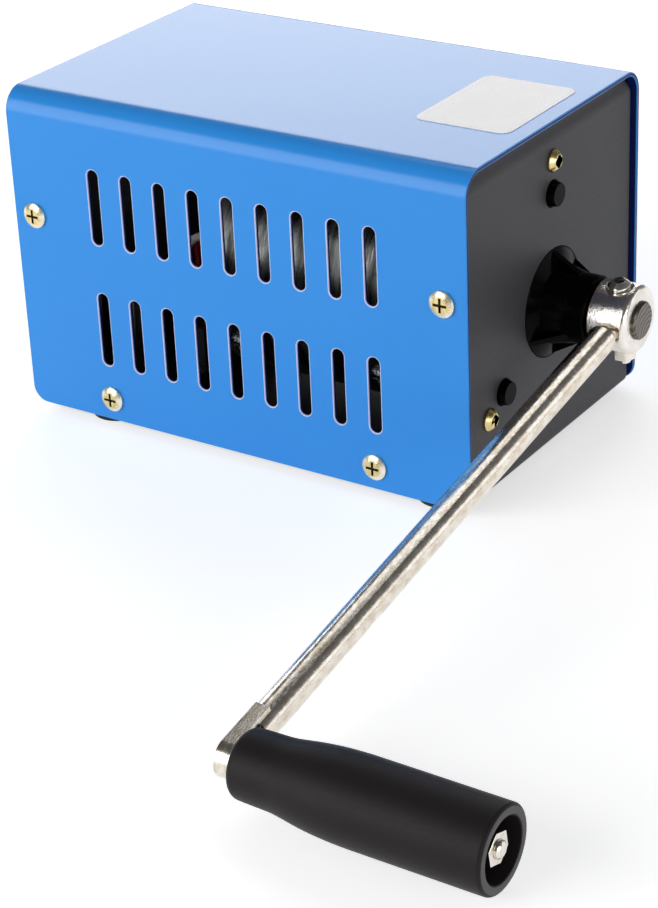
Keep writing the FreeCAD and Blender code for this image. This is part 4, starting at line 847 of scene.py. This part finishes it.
@dataclass(frozen=True)
class Lamp:
    """A soft rectangular lamp: where it stands and its size in metres, and its power in watts."""

    name: str
    place: tuple[float, float, float]
    wide: float
    tall: float
    power: float

    def build(self, aim: Vector) -> None:
        """Put the lamp in the scene.

        Args:
            aim: The point that it faces.
        """
        data = bpy.data.lights.new(self.name, "AREA")
        data.shape = "RECTANGLE"
        data.size = self.wide
        data.size_y = self.tall
        data.energy = self.power
        lamp = bpy.data.objects.new(self.name, data)
        bpy.context.scene.collection.objects.link(lamp)
        lamp.location = self.place
        lamp.rotation_euler = (aim - Vector(self.place)).to_track_quat("-Z", "Y").to_euler()


# A soft box in front on the left, one behind that the lid mirrors, a wide one for the crank's end, and two weak ones
# that draw a pale line on the lid's bend and on the far edge
LAMPS = (
    Lamp("front_box", (-0.62, -1.23, 0.48), 1.2, 1.0, 13.6),
    Lamp("back_box", (-0.83, 1.18, 0.59), 1.4, 0.65, 9.2),
    Lamp("end_box", (1.35, -0.5, 0.25), 1.0, 0.8, 6.3),
    Lamp("top_strip", (-0.10, 0.60, 1.05), 1.0, 0.35, 1.4),
    Lamp("side_card", (1.00, 0.80, 0.30), 0.8, 0.45, 1.2),
)


@dataclass
class Studio:
    """The floor, the soft lights, the pale surroundings and the camera."""

    azimuth: float = 34.323
    elevation: float = 27.001
    roll: float = -2.63
    distance_mm: float = 706.98
    target_mm: tuple[float, float, float] = (-2.77, 0.0, -18.56)
    lens: float = 99.51
    sensor: float = 36.0
    floor_glow: float = 0.58
    horizon: float = 0.3
    zenith: float = 0.08
    zenith_height: float = 0.9
    room_tint: tuple[float, float, float, float] = (0.98, 0.98, 1.0, 1.0)
    floor_tint: tuple[float, float, float, float] = (0.92, 0.92, 0.92, 1.0)
    floor_size: float = 6.0
    nearest: float = 0.01
    lamps_aim: tuple[float, float, float] = (0.0, 0.0, 0.045)

    def build(self) -> None:
        """Set up everything round the object."""
        self.floor()
        self.world()
        for lamp in LAMPS:
            lamp.build(Vector(self.lamps_aim))
        self.camera()

    def axes(self) -> tuple[Vector, Vector, Vector]:
        """Find the camera's directions before its roll.

        Returns:
            Its right, its up and its back.
        """
        turn, rise = math.radians(self.azimuth), math.radians(self.elevation)
        back = Vector((math.sin(turn) * math.cos(rise), -math.cos(turn) * math.cos(rise), math.sin(rise)))
        right = Vector((math.cos(turn), math.sin(turn), 0))
        return right, back.cross(right), back

    def camera(self) -> None:
        """Place the camera as it was when the photograph was taken."""
        right, up, back = self.axes()
        tilt = math.radians(self.roll)
        rolled_right = math.cos(tilt) * right + math.sin(tilt) * up
        rolled_up = math.cos(tilt) * up - math.sin(tilt) * right
        matrix = Matrix((rolled_right, rolled_up, back)).transposed().to_4x4()
        matrix.translation = (Vector(self.target_mm) + back * self.distance_mm) * MM
        data = bpy.data.cameras.new("camera")
        data.sensor_fit = "VERTICAL"
        data.sensor_height = self.sensor
        data.sensor_width = self.sensor
        data.lens = self.lens
        data.clip_start = self.nearest
        camera = bpy.data.objects.new("camera", data)
        bpy.context.scene.collection.objects.link(camera)
        camera.matrix_world = matrix
        bpy.context.scene.camera = camera
        bpy.context.scene.view_settings.view_transform = "Standard"

    def floor(self) -> None:
        """A wide pale floor that keeps the object's soft shadow, with a glow that camera, glossy and transmission
        rays see.
        """
        bpy.ops.object.select_all(action="DESELECT")
        bpy.ops.mesh.primitive_plane_add(size=self.floor_size, location=(0, 0, 0))
        floor = bpy.context.object
        floor.name = "floor"
        material = bpy.data.materials.new("pale_floor")
        material.use_nodes = True
        tree = material.node_tree
        tree.nodes.clear()
        output = add_node(tree, "ShaderNodeOutputMaterial")
        plain = add_node(tree, "ShaderNodeBsdfDiffuse", inputs={"Color": self.floor_tint})
        glow = add_node(tree, "ShaderNodeEmission", inputs={"Color": (1, 1, 1, 1), "Strength": self.floor_glow})
        path = add_node(tree, "ShaderNodeLightPath")
        seen = path.outputs["Is Camera Ray"]
        for kind in ("Is Glossy Ray", "Is Transmission Ray"):
            seen = add_node(tree, "ShaderNodeMath", operation="MAXIMUM",
                            links={0: seen, 1: path.outputs[kind]}).outputs[0]
        both = add_node(tree, "ShaderNodeAddShader", links={0: plain.outputs[0], 1: glow.outputs[0]})
        shown = add_node(tree, "ShaderNodeMixShader", links={0: seen, 1: plain.outputs[0], 2: both.outputs[0]})
        tree.links.new(shown.outputs[0], output.inputs[0])
        floor.data.materials.append(material)

    def world(self) -> None:
        """A plain room, paler towards the horizon, with a soft glow that every ray sees alike."""
        world = bpy.data.worlds.new("studio")
        bpy.context.scene.world = world
        world.use_nodes = True
        tree = world.node_tree
        tree.nodes.clear()
        output = add_node(tree, "ShaderNodeOutputWorld")
        direction = add_node(tree, "ShaderNodeTexCoord").outputs["Generated"]
        height = add_node(tree, "ShaderNodeSeparateXYZ", links={0: direction}).outputs[2]
        level = add_node(tree, "ShaderNodeMapRange", links={"Value": height}, inputs={
            "From Min": 0.0, "From Max": self.zenith_height, "To Min": self.horizon, "To Max": self.zenith})
        soft = add_node(tree, "ShaderNodeBackground", inputs={"Color": self.room_tint},
                        links={"Strength": level.outputs[0]})
        tree.links.new(soft.outputs[0], output.inputs[0])


def main() -> None:
    """Load the frame, dress every sub-assembly and set up the studio."""
    logging.basicConfig(level=logging.INFO, format="%(name)s %(message)s")
    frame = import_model()
    SheetMetalBox(frame, "generator").build()
    CoverScrews(frame, "generator").build()
    Gearbox(frame, "generator").build()
    Generator(frame, "generator").build()
    OutputBoard(frame, "generator").build()
    Crank(frame, "crank").build()
    Grip(frame, "handle").build()
    for letter in "abc":
        MovingGears(frame, "planet_1" + letter, dressed=(("planet_1" + letter, NYLON_GEAR),)).build()
        MovingGears(frame, "planet_2" + letter, dressed=(("planet_2" + letter, NYLON_GEAR),)).build()
    MovingGears(frame, "second_carrier", dressed=(
        ("sun_1", GEAR_STEEL), ("carrier_2", GEAR_STEEL), ("planet_pins_2", GEAR_STEEL))).build()
    MovingGears(frame, "rotor", dressed=(
        ("sun_2", GEAR_STEEL), ("rotor_shaft", GEAR_STEEL), ("rotor_core", LAMINATIONS),
        ("rotor_magnets", MAGNET))).build()
    Studio().build()


if __name__ == "__main__":
    main()
